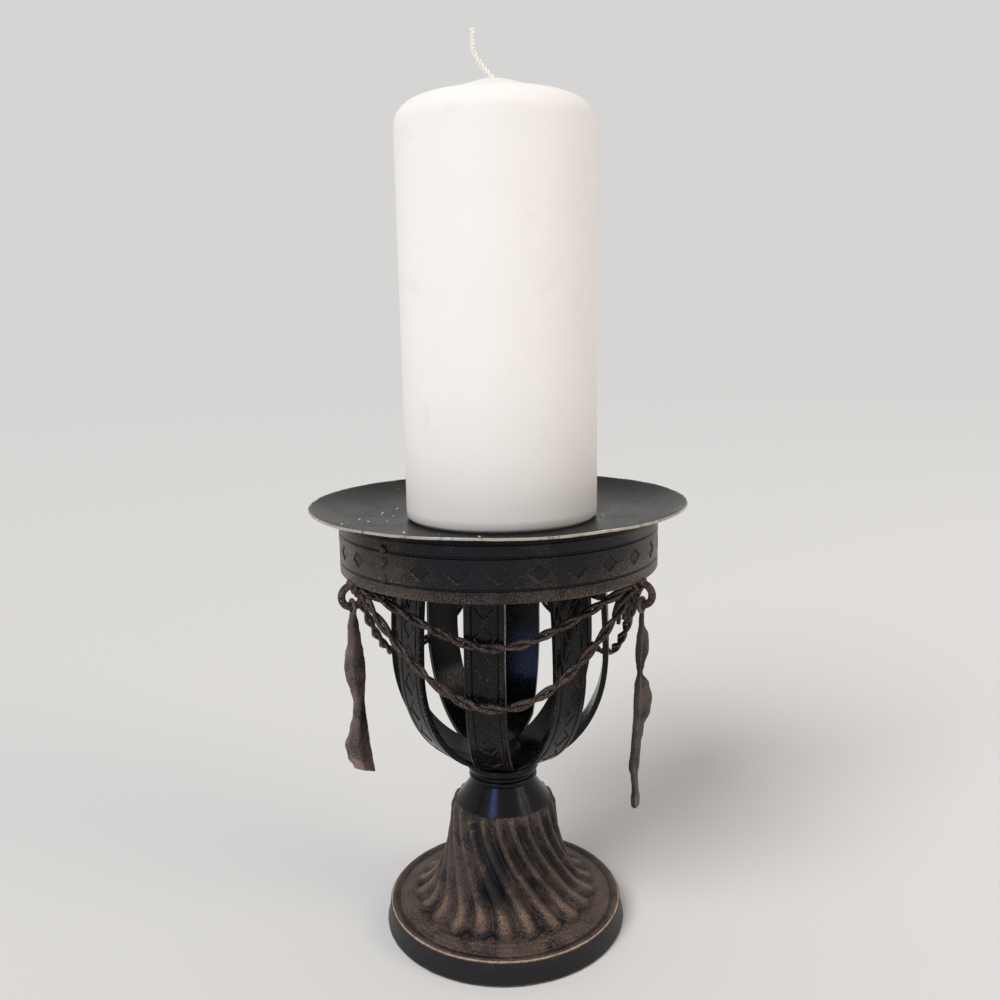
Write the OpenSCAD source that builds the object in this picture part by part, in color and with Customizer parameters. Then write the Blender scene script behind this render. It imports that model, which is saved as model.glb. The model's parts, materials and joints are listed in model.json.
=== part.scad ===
// Table-top pillar candle stand in urn form: a cast foot with a swirled, fluted bell, a bowl of
// eight flat straps, a stamped hoop under a shallow drip pan, twisted wire swags between three
// rings, and a forged ribbon that hangs from each ring.
// Millimetres, +Z up, origin at the centre of the foot's underside. The front faces -Y, and an
// azimuth is counted from the front towards +X.

/* [Candle] */
// Diameter of the pillar candle
candle_d = 100; // [60:1:106]
// Height of its straight side
candle_side_h = 197; // [80:1:250]
// Radius of its rounded shoulder
candle_shoulder_r = 10; // [4:1:16]
// Rise of the cone from the shoulder to the wick
candle_cone_h = 10.5; // [4:0.5:20]
// Bevel round its lower edge
candle_bevel = 4; // [1:0.5:8]
// How far it stands to the right of the pan's centre
candle_offset = 2; // [0:0.5:4]
// Diameter of the wick
wick_d = 2.4; // [1.5:0.1:3.5]
// Height of the wick above the candle
wick_h = 23; // [8:1:40]
// How far the wick leans over at its tip
wick_lean = 10; // [0:0.5:16]

/* [Drip pan] */
// Diameter of the pan's rim
pan_d = 196.4; // [180:0.2:220]
// Diameter of its flat floor
pan_floor_d = 118; // [112:1:130]
// Height of the rim's upper edge over the floor
pan_rise = 8.6; // [5:0.1:14]
// Thickness of the sheet
pan_t = 1.2; // [0.8:0.1:2]
// Height of the pan's floor above the table
pan_floor_z = 229; // [215:1:250]

/* [Hoop] */
// Outer diameter of the hoop under the pan
hoop_d = 166.8; // [156:0.2:176]
// Thickness of its band
hoop_t = 2; // [1.5:0.1:3]
// Height of the band
hoop_h = 27; // [20:0.5:34]
// Distance of each incised line from the edge
hoop_line_inset = 6; // [4:0.5:8]
// Width of an incised line at the surface
line_w = 1.3; // [0.8:0.1:1.8]
// Depth of an incised line
line_depth = 0.6; // [0.3:0.1:0.8]
// Azimuth of the welded seam
hoop_seam_az = -40; // [-60:1:-30]
// Number of diamonds stamped round the hoop
hoop_stamps = 27; // [16:1:30]
// Angle between the two diamonds beside the seam
hoop_seam_gap = 28.6; // [20:0.2:40]
// Width of a diamond of the hoop
hoop_stamp_w = 10.7; // [6:0.1:12]
// Height of a diamond of the hoop
hoop_stamp_h = 8.6; // [4:0.1:10]
// Depth of the hoop's diamonds
hoop_stamp_depth = 0.6; // [0.3:0.1:1]
// Radius of the three weld beads on the seam
seam_bead_r = 2; // [1:0.1:2.6]

/* [Bowl] */
// Number of straps round the bowl
rib_count = 8; // [6:1:9]
// Azimuth of the front strap
rib_phase = -8; // [-20:1:20]
// Width of a strap
rib_w = 20; // [14:0.5:22]
// Thickness of a strap
rib_t = 3; // [2:0.2:4]
// Radius of the bowl at its belly, to the straps' outer faces
belly_r = 58.2; // [50:0.2:64]
// Height of the belly above the table
belly_z = 156; // [146:1:166]
// Radius of the straps' outer faces at the pan
rib_top_r = 52; // [44:0.5:54]
// Radius of the flat middle where the straps meet
rib_seat_r = 10; // [9:0.5:14]
// Gap between two straps where they meet
rib_gap = 0.3; // [0.1:0.1:1]
// Turn of the rear strap out of its even place
rear_rib_turn = -6; // [-8:1:8]
// Distance of a strap's incised lines from its edges
rib_line_inset = 3.5; // [2:0.1:4]
// Width of a diamond stamped on a strap
rib_stamp_w = 10.4; // [5:0.1:12]
// Length of a diamond along the strap
rib_stamp_len = 13.4; // [6:0.1:14]
// Distance from one diamond to the next, along the strap
rib_stamp_pitch = 15.2; // [14:0.1:24]
// Distance of the first diamond's centre from the pan, along the strap
rib_stamp_start = 18.3; // [8:0.1:24]
// Depth of the straps' diamonds
rib_stamp_depth = 0.5; // [0.3:0.1:0.8]

/* [Foot] */
// Diameter of the foot plate at the table
plate_d = 133; // [120:1:150]
// Diameter of the plate's upper edge
plate_top_d = 128.4; // [114:0.2:132]
// Height of the plate's rim
plate_h = 13.2; // [11:0.1:18]
// Width of the flat lip on top of the rim
plate_lip = 2.5; // [1:0.1:3]
// Wall of the plate's rim at the table
plate_wall = 6; // [4:0.5:9]
// Thickness of the plate's web
plate_web_t = 3.2; // [2.4:0.1:5]
// Depth of the shallow step inside the rim
plate_step = 1; // [0.5:0.1:2]
// Rise of the plate's face from that step to the bell
plate_dome = 2.8; // [0:0.1:5]
// Height of the bell's top above the table
bell_top_z = 70.4; // [62:0.2:76]
// Radius at the tips of the flutes
bell_foot_r = 51; // [42:0.2:52]
// Radius of the round that ends a flute's tip
bell_tip_r = 2.6; // [1:0.1:4]
// Radius of the bell at its shoulder
bell_neck_r = 28.6; // [27:0.2:32]
// Number of flutes
flute_count = 22; // [16:1:28]
// Depth of a flute's valley below its crest
flute_depth = 2.8; // [1:0.1:3.6]
// Turn of a flute from the top of the bell to its foot
flute_twist = 40; // [0:1:70]
// Azimuth of the front flute's tip
flute_phase = -0.5; // [-8:0.5:8]
// Wall of the hollow bell
bell_wall = 4; // [3:0.5:6]

/* [Neck] */
// Radius of the collar where it stands on the bell
collar_foot_r = 26; // [24:0.2:27]
// Radius of the collar's upper end
collar_top_r = 17; // [13:0.2:18]
// Height of the collar with its bead
collar_h = 16.8; // [14:0.2:20]
// Radius of the collar's bead
collar_bead_r = 1.7; // [1:0.1:2.2]
// Outer radius of the neck ring
neck_ring_r = 19.8; // [17.5:0.2:23]
// Height of the neck ring
neck_ring_h = 6.8; // [5:0.2:9]
// Diameter of the tie rod
rod_d = 8; // [6:0.5:9]
// Clearance round the rod in its holes
rod_clearance = 0.2; // [0.1:0.05:0.4]
// Height of a nut
nut_h = 5; // [4:0.5:5.5]
// Nut size across its flats
nut_af = 13; // [12:0.5:16]
// Thickness of the washer under the foot
washer_t = 1.6; // [1:0.1:2]
// Diameter of that washer
washer_d = 24; // [18:1:34]
// Thickness of the plate that clamps the straps
hub_t = 3; // [2:0.2:5]

/* [Rings and swags] */
// Azimuth of the left ring
ring_phase = -62.5; // [-75:0.5:-50]
// Diameter of the ring's wire
ring_wire_d = 3.8; // [3:0.1:4.4]
// Radius of the ring's centre line
ring_r = 5.4; // [5:0.1:7]
// Diameter of one strand of the swags
strand_d = 2.4; // [1.6:0.1:2.6]
// Length of one turn of the twisted strands
strand_pitch = 27; // [18:1:40]
// How far the upper swags hang below their ends
upper_sag = 25; // [10:1:32]
// How far the lower swags hang below their ends
lower_sag = 53; // [36:1:62]
// Lower swag's ends below the upper swag's ends
swag_end_step = 2.7; // [2.2:0.1:3.2]

/* [Drops] */
// Diameter of the wire of a drop's eye
eye_wire_d = 2; // [1.4:0.1:2.2]
// Clearance of the eye round the ring's wire
eye_clearance = 0.5; // [0.3:0.05:0.8]
// Thickness of a drop at its middle
drop_t = 2.4; // [1.6:0.1:3.2]
// Length of the two shorter drops from the ring to the tip
short_drop_len = 88; // [60:1:100]
// Length of the right-hand drop from the ring to the tip
long_drop_len = 108; // [80:1:125]

/* [Hidden] */
$fn = 96;
fine_fn = 360;
kiss = 0.05;              // play between pieces that touch but don't merge
ring_count = 3;

// levels and radii that follow from the sizes above
pan_r = pan_d / 2;
pan_floor_r = pan_floor_d / 2;
pan_under_z = pan_floor_z - pan_t;
pan_run = pan_r - pan_floor_r;
pan_dish_r = (pan_run * pan_run + pan_rise * pan_rise) / (2 * pan_rise);
hoop_r = hoop_d / 2;
hoop_top_z = pan_underside(hoop_r);
hoop_bottom_z = hoop_top_z - hoop_h;
plate_r = plate_d / 2;
plate_top_r = plate_top_d / 2;
plate_face_z = plate_h - plate_step;
plate_seat_z = plate_face_z + plate_dome;
plate_recess_z = plate_face_z - plate_web_t;
collar_top_z = bell_top_z + collar_h;
rib_seat_z = collar_top_z + neck_ring_h;
hub_top_z = rib_seat_z + rib_t + hub_t;
rod_r = rod_d / 2;
rod_hole_r = rod_r + rod_clearance;
rod_stub = 0.2;           // rod that shows past each nut
rod_bottom_z = plate_recess_z - washer_t - nut_h - rod_stub;
rod_top_z = hub_top_z + nut_h + rod_stub;

// candle
candle_r = candle_d / 2;
candle_peak_z = pan_floor_z + candle_side_h + candle_shoulder_r + candle_cone_h;

// rings, knots and swags
ring_wire_r = ring_wire_d / 2;
ring_place_r = hoop_r - hoop_t / 2;
ring_centre_z = hoop_bottom_z - ring_r - ring_wire_r;
ring_az = [for (i = [0 : ring_count - 1]) ring_phase + i * 360 / ring_count];
strand_r = strand_d / 2;
strand_offset = strand_r + kiss;
swag_r = strand_offset + strand_r;
coil_r = ring_wire_r + strand_r + kiss;
coil_outer_r = coil_r + strand_r;
knot_angle = 135;         // place of the knot on the ring: up and towards the bowl
knot_r = ring_place_r + ring_r * cos(knot_angle);
knot_z = ring_centre_z + ring_r * sin(knot_angle);
swag_wrap_r = norm([belly_r, rib_w / 2]) + swag_r + 3 * kiss;
upper_end_az = swag_end_az(0.8 * strand_r);     // its square end butts on the knot's coil
lower_end_az = swag_end_az(-0.5 * strand_r);    // it reaches the ring's wire below the coil
upper_end_z = knot_z + strand_r / 2;
lower_end_z = upper_end_z - swag_end_step;

// drops
eye_wire_r = eye_wire_d / 2;
eye_r = ring_wire_r + eye_clearance + eye_wire_r;
hinge_z = ring_centre_z - ring_r;

iron = "#2b2a2b";
cast = "#3a302b";
wire = "#4a3b33";
wax = "#f3ece0";

// height of the pan's underside at a radius outside its floor
function pan_underside(r) =
    pan_floor_z + pan_dish_r - sqrt(pow(pan_dish_r + pan_t, 2) - pow(r - pan_floor_r, 2));

// a smooth step from 0 to 1
function ease(t) = t * t * (3 - 2 * t);

// length of a line of points up to each of them
function lengths_along(points) =
    [for (k = 0, s = 0; k < len(points);
        s = s + (k < len(points) - 1 ? norm(points[k + 1] - points[k]) : 0), k = k + 1) s];

// diamond with its length along X and its width along Y
module diamond(length, width) {
    polygon([[-length / 2, 0], [0, -width / 2], [length / 2, 0], [0, width / 2]]);
}

// one closed skin over a list of rings, each with the same number of points
module loft(rings) {
    n = len(rings[0]);
    last = len(rings) - 1;
    points = [for (ring = rings) each ring];
    sides = [for (i = [0 : last - 1], j = [0 : n - 1])
        let (a = i * n + j, b = i * n + (j + 1) % n)
        each [[a, a + n, b + n], [a, b + n, b]]];
    bottom = [for (j = [0 : n - 1]) j];
    top = [for (j = [n - 1 : -1 : 0]) last * n + j];
    polyhedron(points = points, faces = concat(sides, [bottom, top]), convexity = 8);
}

// puts a piece that is drawn at the front at an azimuth
module at_azimuth(az) {
    rotate([0, 0, az]) children();
}

// ---- foot ------------------------------------------------------------------------------

// round cast plate: a rim with a flat lip, a face that rises inside it to the bell, and a recess
// underneath with the draft of the rim's outer face, so the wall is the same all the way up
module foot_plate() {
    edge = 1.2;
    steps = 8;
    draft = (plate_r - plate_top_r) / plate_h;
    lip_r = plate_top_r - plate_lip;
    face_r = lip_r - plate_step;
    color(cast)
    rotate_extrude($fn = fine_fn)
    polygon(concat([[rod_hole_r, plate_recess_z],
            [plate_r - plate_wall - draft * plate_recess_z, plate_recess_z],
            [plate_r - plate_wall, 0], [plate_r - edge, 0], [plate_r, edge],
            [plate_top_r + edge / 2, plate_h - edge], [plate_top_r - edge / 2, plate_h],
            [lip_r, plate_h]],
        [for (k = [0 : steps])
            [face_r + (bell_foot_r - face_r) * k / steps,
             plate_face_z + plate_dome * ease(k / steps)]],
        [[rod_hole_r, plate_seat_z]]));
}

// the bell's crest line as [radius, height]: from its top (t = 0) to where the flutes' tips
// begin to round off (t = 1), and down that round to the plate (t = 2)
function bell_crest(t) =
    let (low_z = plate_seat_z + bell_tip_r,
         z = low_z + (bell_top_z - low_z) * pow(1 - min(t, 1), 1.35),
         u = 1 - (z - low_z) / (bell_top_z - low_z),
         swell = 0.25 * u + 0.5 * pow(u, 3) + 0.25 * pow(u, 20),
         shoulder = 1.4 * pow(max(0, 1 - u * 12), 2),
         fall = 90 * max(0, t - 1))
    [bell_neck_r + (bell_foot_r - bell_tip_r - bell_neck_r) * swell - shoulder
        + bell_tip_r * sin(fall), z - bell_tip_r * (1 - cos(fall))];

// ridge over one flute: 0 in the valleys and 1 on the crest; a half round has a sharpness of
// 0.5, and a narrow ridge between broad valleys has more
function flute_ridge(phase, sharpness) =
    let (x = 2 * (phase - floor(phase)) - 1)
    pow(max(0, 1 - x * x), sharpness);

// one horizontal ring of the fluted skin, moved up by a lift
function bell_ring(t, steps, lift) =
    let (crest = bell_crest(t),
         way = min(t, 1),
         turn = flute_phase - flute_twist * (1 - ease(pow(way, 0.9))),
         sharpness = 0.85 + 0.65 * (1 - way),
         fade = min(1, way * 7 + 0.35),
         depth = flute_depth * fade * (1 + 0.5 * way * way))
    [for (i = [0 : flute_count * steps - 1])
        let (az = turn + 360 * (i + 0.5 * steps) / (flute_count * steps),
             r = crest[0] - depth * (1 - flute_ridge(i / steps, sharpness)))
        [r * sin(az), -r * cos(az), crest[1] + lift]];

// hollow cast bell whose flutes swirl outwards to the foot; the fluted skin runs past both flat
// ends, and the turned section of the wall trims it
module fluted_bell() {
    levels = 15;
    tip_levels = 3;
    steps = 6;
    trim = 1;
    cavity_top_z = bell_top_z - 2 * bell_wall;
    cavity_foot_r = bell_foot_r - bell_tip_r - 1.5 * flute_depth - 2 * bell_wall;
    cavity_neck_r = bell_neck_r - flute_depth - bell_wall;
    color(cast)
    intersection() {
        loft(concat([bell_ring(2, steps, -trim)],
            [for (k = [tip_levels : -1 : 1]) bell_ring(1 + k / tip_levels, steps, 0)],
            [for (k = [levels : -1 : 0]) bell_ring(k / levels, steps, 0)],
            [bell_ring(0, steps, trim)]));
        rotate_extrude()
        polygon([[cavity_foot_r, plate_seat_z], [bell_foot_r + trim, plate_seat_z],
            [bell_foot_r + trim, bell_top_z], [rod_hole_r, bell_top_z], [rod_hole_r, cavity_top_z],
            [rod_hole_r + 2 * bell_wall, cavity_top_z], [cavity_neck_r, cavity_top_z - bell_wall],
            [cavity_neck_r, (plate_seat_z + bell_top_z) / 2]]);
    }
}

// ---- neck ------------------------------------------------------------------------------

// smooth turned cone with a bead round its upper end
module neck_collar() {
    bead_z = collar_top_z - 1.2 - collar_bead_r;
    cone_top_z = bead_z - collar_bead_r;
    color(iron)
    rotate_extrude()
    difference() {
        union() {
            polygon(concat([[rod_hole_r, bell_top_z]],
                [for (k = [0 : 8])
                    let (u = k / 8, bow = 1 - u)
                    [collar_top_r + (collar_foot_r - collar_top_r) * (0.85 * bow + 0.15 * bow * bow),
                     bell_top_z + (cone_top_z - bell_top_z) * u]],
                [[collar_top_r, collar_top_z], [rod_hole_r, collar_top_z]]));
            translate([collar_top_r, bead_z]) circle(r = collar_bead_r, $fn = 48);
        }
        translate([0, bell_top_z - 1]) square([rod_hole_r, collar_h + 2]);
    }
}

// plain ring with a half-round edge, on which the straps stand
module neck_ring() {
    bead_r = neck_ring_h / 2;
    color(iron)
    rotate_extrude()
    union() {
        translate([rod_hole_r, collar_top_z])
            square([neck_ring_r - bead_r - rod_hole_r, neck_ring_h]);
        translate([neck_ring_r - bead_r, collar_top_z + bead_r]) circle(r = bead_r, $fn = 64);
    }
}

// rod that clamps the foot, the neck and the bowl together
module tie_rod() {
    color(iron)
    translate([0, 0, rod_bottom_z]) cylinder(r = rod_r, h = rod_top_z - rod_bottom_z, $fn = 48);
}

// hexagon nut with its underside at a height
module hex_nut(z) {
    color(iron)
    translate([0, 0, z])
    difference() {
        cylinder(r = nut_af / 2 / cos(30), h = nut_h, $fn = 6);
        translate([0, 0, -1]) cylinder(r = rod_r + kiss, h = nut_h + 2, $fn = 48);
    }
}

module foot_nut() {
    hex_nut(plate_recess_z - washer_t - nut_h);
}

module hub_nut() {
    hex_nut(hub_top_z);
}

// flat round plate with a hole for the rod
module disc(r, z, t) {
    color(iron)
    translate([0, 0, z])
    difference() {
        cylinder(r = r, h = t);
        translate([0, 0, -1]) cylinder(r = rod_hole_r, h = t + 2, $fn = 48);
    }
}

module foot_washer() {
    disc(washer_d / 2, plate_recess_z - washer_t, washer_t);
}

// plate that clamps the straps' feet on the neck ring
module hub_plate() {
    disc(rib_seat_r - kiss, rib_seat_z + rib_t, hub_t);
}

// ---- bowl ------------------------------------------------------------------------------

// the urn curve of a strap's face, offset inwards by a depth, as [radius, height] points
function rib_curve(inset) =
    let (n_low = 20, n_high = 8,
         foot_z = rib_seat_z + inset,
         low_rise = belly_z - foot_z,
         high_rise = pan_under_z - belly_z)
    concat(
        [for (k = [0 : n_low])
            let (a = 90 * k / n_low)
            [rib_seat_r + (belly_r - inset - rib_seat_r) * sin(a), belly_z - low_rise * cos(a)]],
        [for (k = [1 : n_high])
            let (u = k / n_high)
            [belly_r - inset - (belly_r - rib_top_r) * u * u, belly_z + high_rise * u]]);

// bar of a width whose section is drawn as [radius, height] points, at the front
module front_bar(width, section) {
    rotate([90, 0, -90])
        translate([0, 0, -width / 2]) linear_extrude(width) polygon(section);
}

// layer of a width along a strap's outer face, from just outside it down to a depth
module rib_skin(width, depth) {
    outside = 1;
    under = rib_curve(depth);
    front_bar(width, concat(rib_curve(-outside),
        [[rib_top_r + outside, pan_floor_z], [rib_top_r - depth, pan_floor_z]],
        [for (k = [len(under) - 1 : -1 : 0]) under[k]]));
}

// what is pressed into a strap: a line along each edge and a row of diamonds, which ends above
// the neck ring
module rib_marks() {
    curve = rib_curve(0);
    along = lengths_along(curve);
    radius_at = [for (k = [0 : len(curve) - 1]) [along[k], curve[k][0]]];
    height_at = [for (k = [0 : len(curve) - 1]) [along[k], curve[k][1]]];
    first = along[len(along) - 1] - rib_stamp_start;
    room = first - rib_stamp_len / 2 - (neck_ring_r - rib_seat_r);
    for (side = [-1, 1])
        translate([side * (rib_w / 2 - rib_line_inset), 0, 0]) rib_skin(line_w, line_depth);
    intersection() {
        rib_skin(rib_stamp_w, rib_stamp_depth);
        for (k = [0 : floor(room / rib_stamp_pitch)]) {
            low = first - k * rib_stamp_pitch - rib_stamp_len / 2;
            high = low + rib_stamp_len;
            low_r = lookup(low, radius_at);
            low_z = lookup(low, height_at);
            high_r = lookup(high, radius_at);
            high_z = lookup(high, height_at);
            rotate([90, 0, -90])
                translate([(low_r + high_r) / 2, (low_z + high_z) / 2, 0])
                rotate([0, 0, atan2(high_z - low_z, high_r - low_r)])
                rotate([90, 0, 0])
                translate([0, 0, -rib_t]) linear_extrude(2 * rib_t)
                diamond(norm([high_r - low_r, high_z - low_z]), rib_stamp_w);
        }
    }
}

// one bent strap; its foot is mitred to meet its neighbours round the rod
module rib(index) {
    half_angle = 180 / rib_count;
    reach = 2 * belly_r;
    turn = index == round(rib_count / 2) ? rear_rib_turn : 0;
    outer = rib_curve(0);
    inner = rib_curve(rib_t);
    foot = [[rod_hole_r + rib_gap, rib_seat_z + rib_t], [rod_hole_r + rib_gap, rib_seat_z]];
    color(iron)
    at_azimuth(rib_phase + index * 360 / rib_count)
    intersection() {
        at_azimuth(turn)
            difference() {
                front_bar(rib_w, concat(foot, outer, [for (k = [len(inner) - 1 : -1 : 0]) inner[k]]));
                rib_marks();
            }
        translate([0, -rib_gap / 2 / sin(half_angle), 0])
            linear_extrude(pan_floor_z)
            polygon([[0, 0], [-reach * tan(half_angle), -reach], [reach * tan(half_angle), -reach]]);
    }
}

// ---- hoop ------------------------------------------------------------------------------

// section of the hoop's band, with its two incised lines
module hoop_section() {
    inner_r = hoop_r - hoop_t;
    low_z = hoop_bottom_z + hoop_line_inset;
    high_z = hoop_top_z - hoop_line_inset;
    polygon([[inner_r, hoop_bottom_z], [hoop_r, hoop_bottom_z],
        [hoop_r, low_z - line_w / 2], [hoop_r - line_depth, low_z], [hoop_r, low_z + line_w / 2],
        [hoop_r, high_z - line_w / 2], [hoop_r - line_depth, high_z], [hoop_r, high_z + line_w / 2],
        [hoop_r, hoop_top_z], [inner_r, pan_underside(inner_r)]]);
}

// rolled band under the pan, with a row of stamped diamonds that stops short of its seam
module hoop() {
    pitch = (360 - hoop_seam_gap) / (hoop_stamps - 1);
    color(iron)
    difference() {
        rotate_extrude($fn = fine_fn) hoop_section();
        for (i = [0 : hoop_stamps - 1])
            at_azimuth(hoop_seam_az + hoop_seam_gap / 2 + i * pitch)
            translate([0, hoop_stamp_depth - hoop_r, hoop_bottom_z + hoop_h / 2])
            rotate([90, 0, 0])
            linear_extrude(hoop_t) diamond(hoop_stamp_w, hoop_stamp_h);
    }
}

// three beads of weld on the hoop's seam: one on each incised line and one between them
module hoop_seam_welds() {
    low_z = hoop_bottom_z + hoop_line_inset + 2 * seam_bead_r;
    high_z = hoop_top_z - hoop_line_inset;
    color(iron)
    at_azimuth(hoop_seam_az)
    for (z = [low_z - seam_bead_r, (low_z + high_z) / 2, high_z + seam_bead_r / 2])
        difference() {
            translate([0, -hoop_r, z]) sphere(r = seam_bead_r, $fn = 32);
            translate([0, 0, z - 2 * seam_bead_r])
                cylinder(r = hoop_r, h = 4 * seam_bead_r, $fn = fine_fn);
        }
}

// ---- drip pan --------------------------------------------------------------------------

// round flank of the pan's upper face, or of the face at a depth below it
function pan_flank(depth) =
    let (steps = 18, r = pan_dish_r + depth, reach = asin(pan_run / r))
    [for (k = [0 : steps])
        let (a = reach * k / steps)
        [pan_floor_r + r * sin(a), pan_floor_z + pan_dish_r - r * cos(a)]];

// shallow saucer: a flat floor and a round flank that rises to the rim
module drip_pan() {
    upper = pan_flank(0);
    color(iron)
    rotate_extrude($fn = fine_fn)
    polygon(concat([[0, pan_under_z]], pan_flank(pan_t),
        [for (k = [len(upper) - 1 : -1 : 0]) upper[k]], [[0, pan_floor_z]]));
}

// ---- rings and knots -------------------------------------------------------------------

// round wire bent to a closed ring about the Z axis
module wire_ring(centre_r, wire_r) {
    rotate_extrude($fn = 64) translate([centre_r, 0]) circle(r = wire_r, $fn = 32);
}

// ring that stands in the radial plane below the hoop, drawn at the front
module plain_ring() {
    translate([0, -ring_place_r, ring_centre_z])
        rotate([0, 90, 0]) wire_ring(ring_r, ring_wire_r);
}

module hanging_ring(index) {
    color(wire)
    at_azimuth(ring_az[index]) plain_ring();
}

// bead of weld between the hoop's lower edge and each ring
module ring_welds() {
    bead_r = 2.6;
    color(iron)
    for (az = ring_az)
        difference() {
            at_azimuth(az) translate([0, -ring_place_r, hoop_bottom_z]) sphere(r = bead_r, $fn = 32);
            rotate_extrude($fn = fine_fn) hoop_section();
            at_azimuth(az) plain_ring();
        }
}

// turn of wire wound square round the ring where the swags are tied to it
module knot(index) {
    color(wire)
    at_azimuth(ring_az[index])
    translate([0, -knot_r, knot_z])
    rotate([180 - knot_angle, 0, 0]) wire_ring(coil_r, strand_r);
}

// ---- swags -----------------------------------------------------------------------------

// azimuth of a swag's end, with its middle at 0 and a play between it and the coil's side
function swag_end_az(play) = 180 / ring_count - asin((coil_outer_r + play) / knot_r);

// plan of a swag: an arc round the straps, then straight to each knot; u runs from -1 to 1
function swag_plan(u, end_az) =
    let (tangent_az = end_az - acos(swag_wrap_r / knot_r),
         arc_len = swag_wrap_r * tangent_az * PI / 180,
         s = abs(u) * (arc_len + knot_r * sin(end_az - tangent_az)),
         side = u < 0 ? -1 : 1,
         az = min(s, arc_len) / swag_wrap_r * 180 / PI,
         past = max(0, s - arc_len))
    [side * (swag_wrap_r * sin(az) + past * cos(az)), -swag_wrap_r * cos(az) + past * sin(az)];

// the upper swag is pulled nearly straight, and the lower one hangs in a parabola
function swag_height(u, end_z, sag, slack) =
    let (tight = (sqrt(1 + pow(u / 0.4, 2)) - 1) / (sqrt(1 + pow(1 / 0.4, 2)) - 1))
    end_z - sag * (1 - slack * u * u - (1 - slack) * tight);

function swag_point(u, end_az, end_z, sag, slack) =
    let (p = swag_plan(u, end_az))
    [p[0], p[1], swag_height(u, end_z, sag, slack)];

function unit(v) = v / norm(v);

// rings of one strand, wound round the swag's line
function strand_rings(centres, turned, sides, start) =
    [for (k = [0 : len(centres) - 1])
        let (along = unit(centres[min(k + 1, len(centres) - 1)] - centres[max(k - 1, 0)]),
             out = unit(cross([0, 0, 1], along)),
             up = cross(along, out),
             wind = start + turned[k],
             core = centres[k] + strand_offset * (cos(wind) * out + sin(wind) * up))
        [for (j = [0 : sides - 1])
            let (a = wind + 360 * j / sides)
            core + strand_r * (cos(a) * out + sin(a) * up)]];

// two strands twisted together between two knots, drawn with its middle at the front; a whole
// number of half turns leaves the strands side by side at both ends
module swag(az, end_az, end_z, sag, slack, levels, crowd) {
    centres = [for (k = [0 : levels])
        let (w = 2 * k / levels - 1)
        swag_point(w * (1 + crowd * (1 - w * w)), end_az, end_z, sag, slack)];
    lengths = lengths_along(centres);
    half_turns = round(2 * lengths[levels] / strand_pitch);
    turned = [for (s = lengths) 180 * half_turns * s / lengths[levels]];
    color(wire)
    at_azimuth(az)
    for (start = [0, 180]) loft(strand_rings(centres, turned, 6, start));
}

module upper_swag(index) {
    swag(ring_phase + (index + 0.5) * 360 / ring_count, upper_end_az, upper_end_z, upper_sag, 0,
        42, 0.03);
}

module lower_swag(index) {
    swag(ring_phase + (index + 0.5) * 360 / ring_count, lower_end_az, lower_end_z, lower_sag, 1,
        52, 0.15);
}

// ---- drops -----------------------------------------------------------------------------

// a drop's stations: [share of the length, width, thickness, turn of its width from the radius,
// slope of its end]; they are read downwards from the eye
short_drop = [[0, 3.4, 0.9, 0, 0], [0.10, 4.6, 1, 0, 0], [0.17, 5.6, 0.9, 5, 0],
    [0.29, 10.4, 1.1, 8, 0], [0.40, 11, 1.1, 10, 0], [0.52, 8, 1, 6, 0], [0.62, 6.6, 1, 2, 0],
    [0.72, 9, 0.9, 0, 0.05], [0.84, 15, 0.9, -4, 0.15], [1, 12, 0.6, -6, 0.35]];
long_drop = [[0, 3.4, 0.9, 20, 0], [0.09, 4.4, 1, 35, 0], [0.16, 7.4, 1, 60, 0],
    [0.24, 8, 1, 95, 0], [0.32, 3.4, 1, 110, 0], [0.38, 7, 1.1, 80, 0], [0.46, 12, 1.1, 70, 0],
    [0.56, 10, 1, 80, 0], [0.68, 7, 1, 95, 0], [0.80, 6.4, 0.9, 100, 0], [0.90, 5, 1, 90, 0],
    [1, 3, 0.9, 80, 0]];

// one flat, lens-shaped ring of a drop at a station
function drop_ring(station, length) =
    [for (j = [0 : 7])
        let (a = 45 * j,
             x = station[1] / 2 * cos(a),
             y = drop_t / 2 * station[2] * sin(a))
        [x * sin(station[3]) + y * cos(station[3]),
         x * cos(station[3]) - y * sin(station[3]),
         -eye_r - station[0] * length - station[4] * x]];

// stations with eased steps between each pair
function smooth_stations(list, steps) =
    [for (k = [0 : len(list) - 2], s = [0 : steps - 1])
        let (t = s / steps)
        [for (c = [0 : len(list[k]) - 1])
            list[k][c] + (list[k + 1][c] - list[k][c]) * (c == 0 ? t : ease(t))]];

// forged ribbon with a wire eye round the lowest point of its ring
module drop(index, stations, length) {
    rings = [for (s = concat(smooth_stations(stations, 3), [stations[len(stations) - 1]]))
        drop_ring(s, length - eye_r)];
    color(wire)
    at_azimuth(ring_az[index])
    translate([0, -ring_place_r, hinge_z])
    union() {
        rotate([90, 0, 0]) wire_ring(eye_r, eye_wire_r);
        loft(rings);
    }
}

// ---- candle ----------------------------------------------------------------------------

// pillar candle that stands in the pan: a bevelled foot, a round shoulder and a low cone
module candle() {
    side_z = pan_floor_z + candle_side_h;
    core_r = candle_r - candle_shoulder_r;
    color(wax)
    translate([candle_offset, 0, 0])
    rotate_extrude($fn = fine_fn)
    union() {
        polygon([[0, pan_floor_z], [candle_r - candle_bevel, pan_floor_z],
            [candle_r, pan_floor_z + candle_bevel], [candle_r, side_z], [0, side_z]]);
        translate([0, side_z]) square([core_r, candle_shoulder_r]);
        translate([core_r, side_z])
        intersection() {
            circle(r = candle_shoulder_r, $fn = fine_fn);
            square(2 * candle_shoulder_r);
        }
        polygon([[0, side_z + candle_shoulder_r], [core_r, side_z + candle_shoulder_r],
            [wick_d, candle_peak_z], [0, candle_peak_z]]);
    }
}

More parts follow.
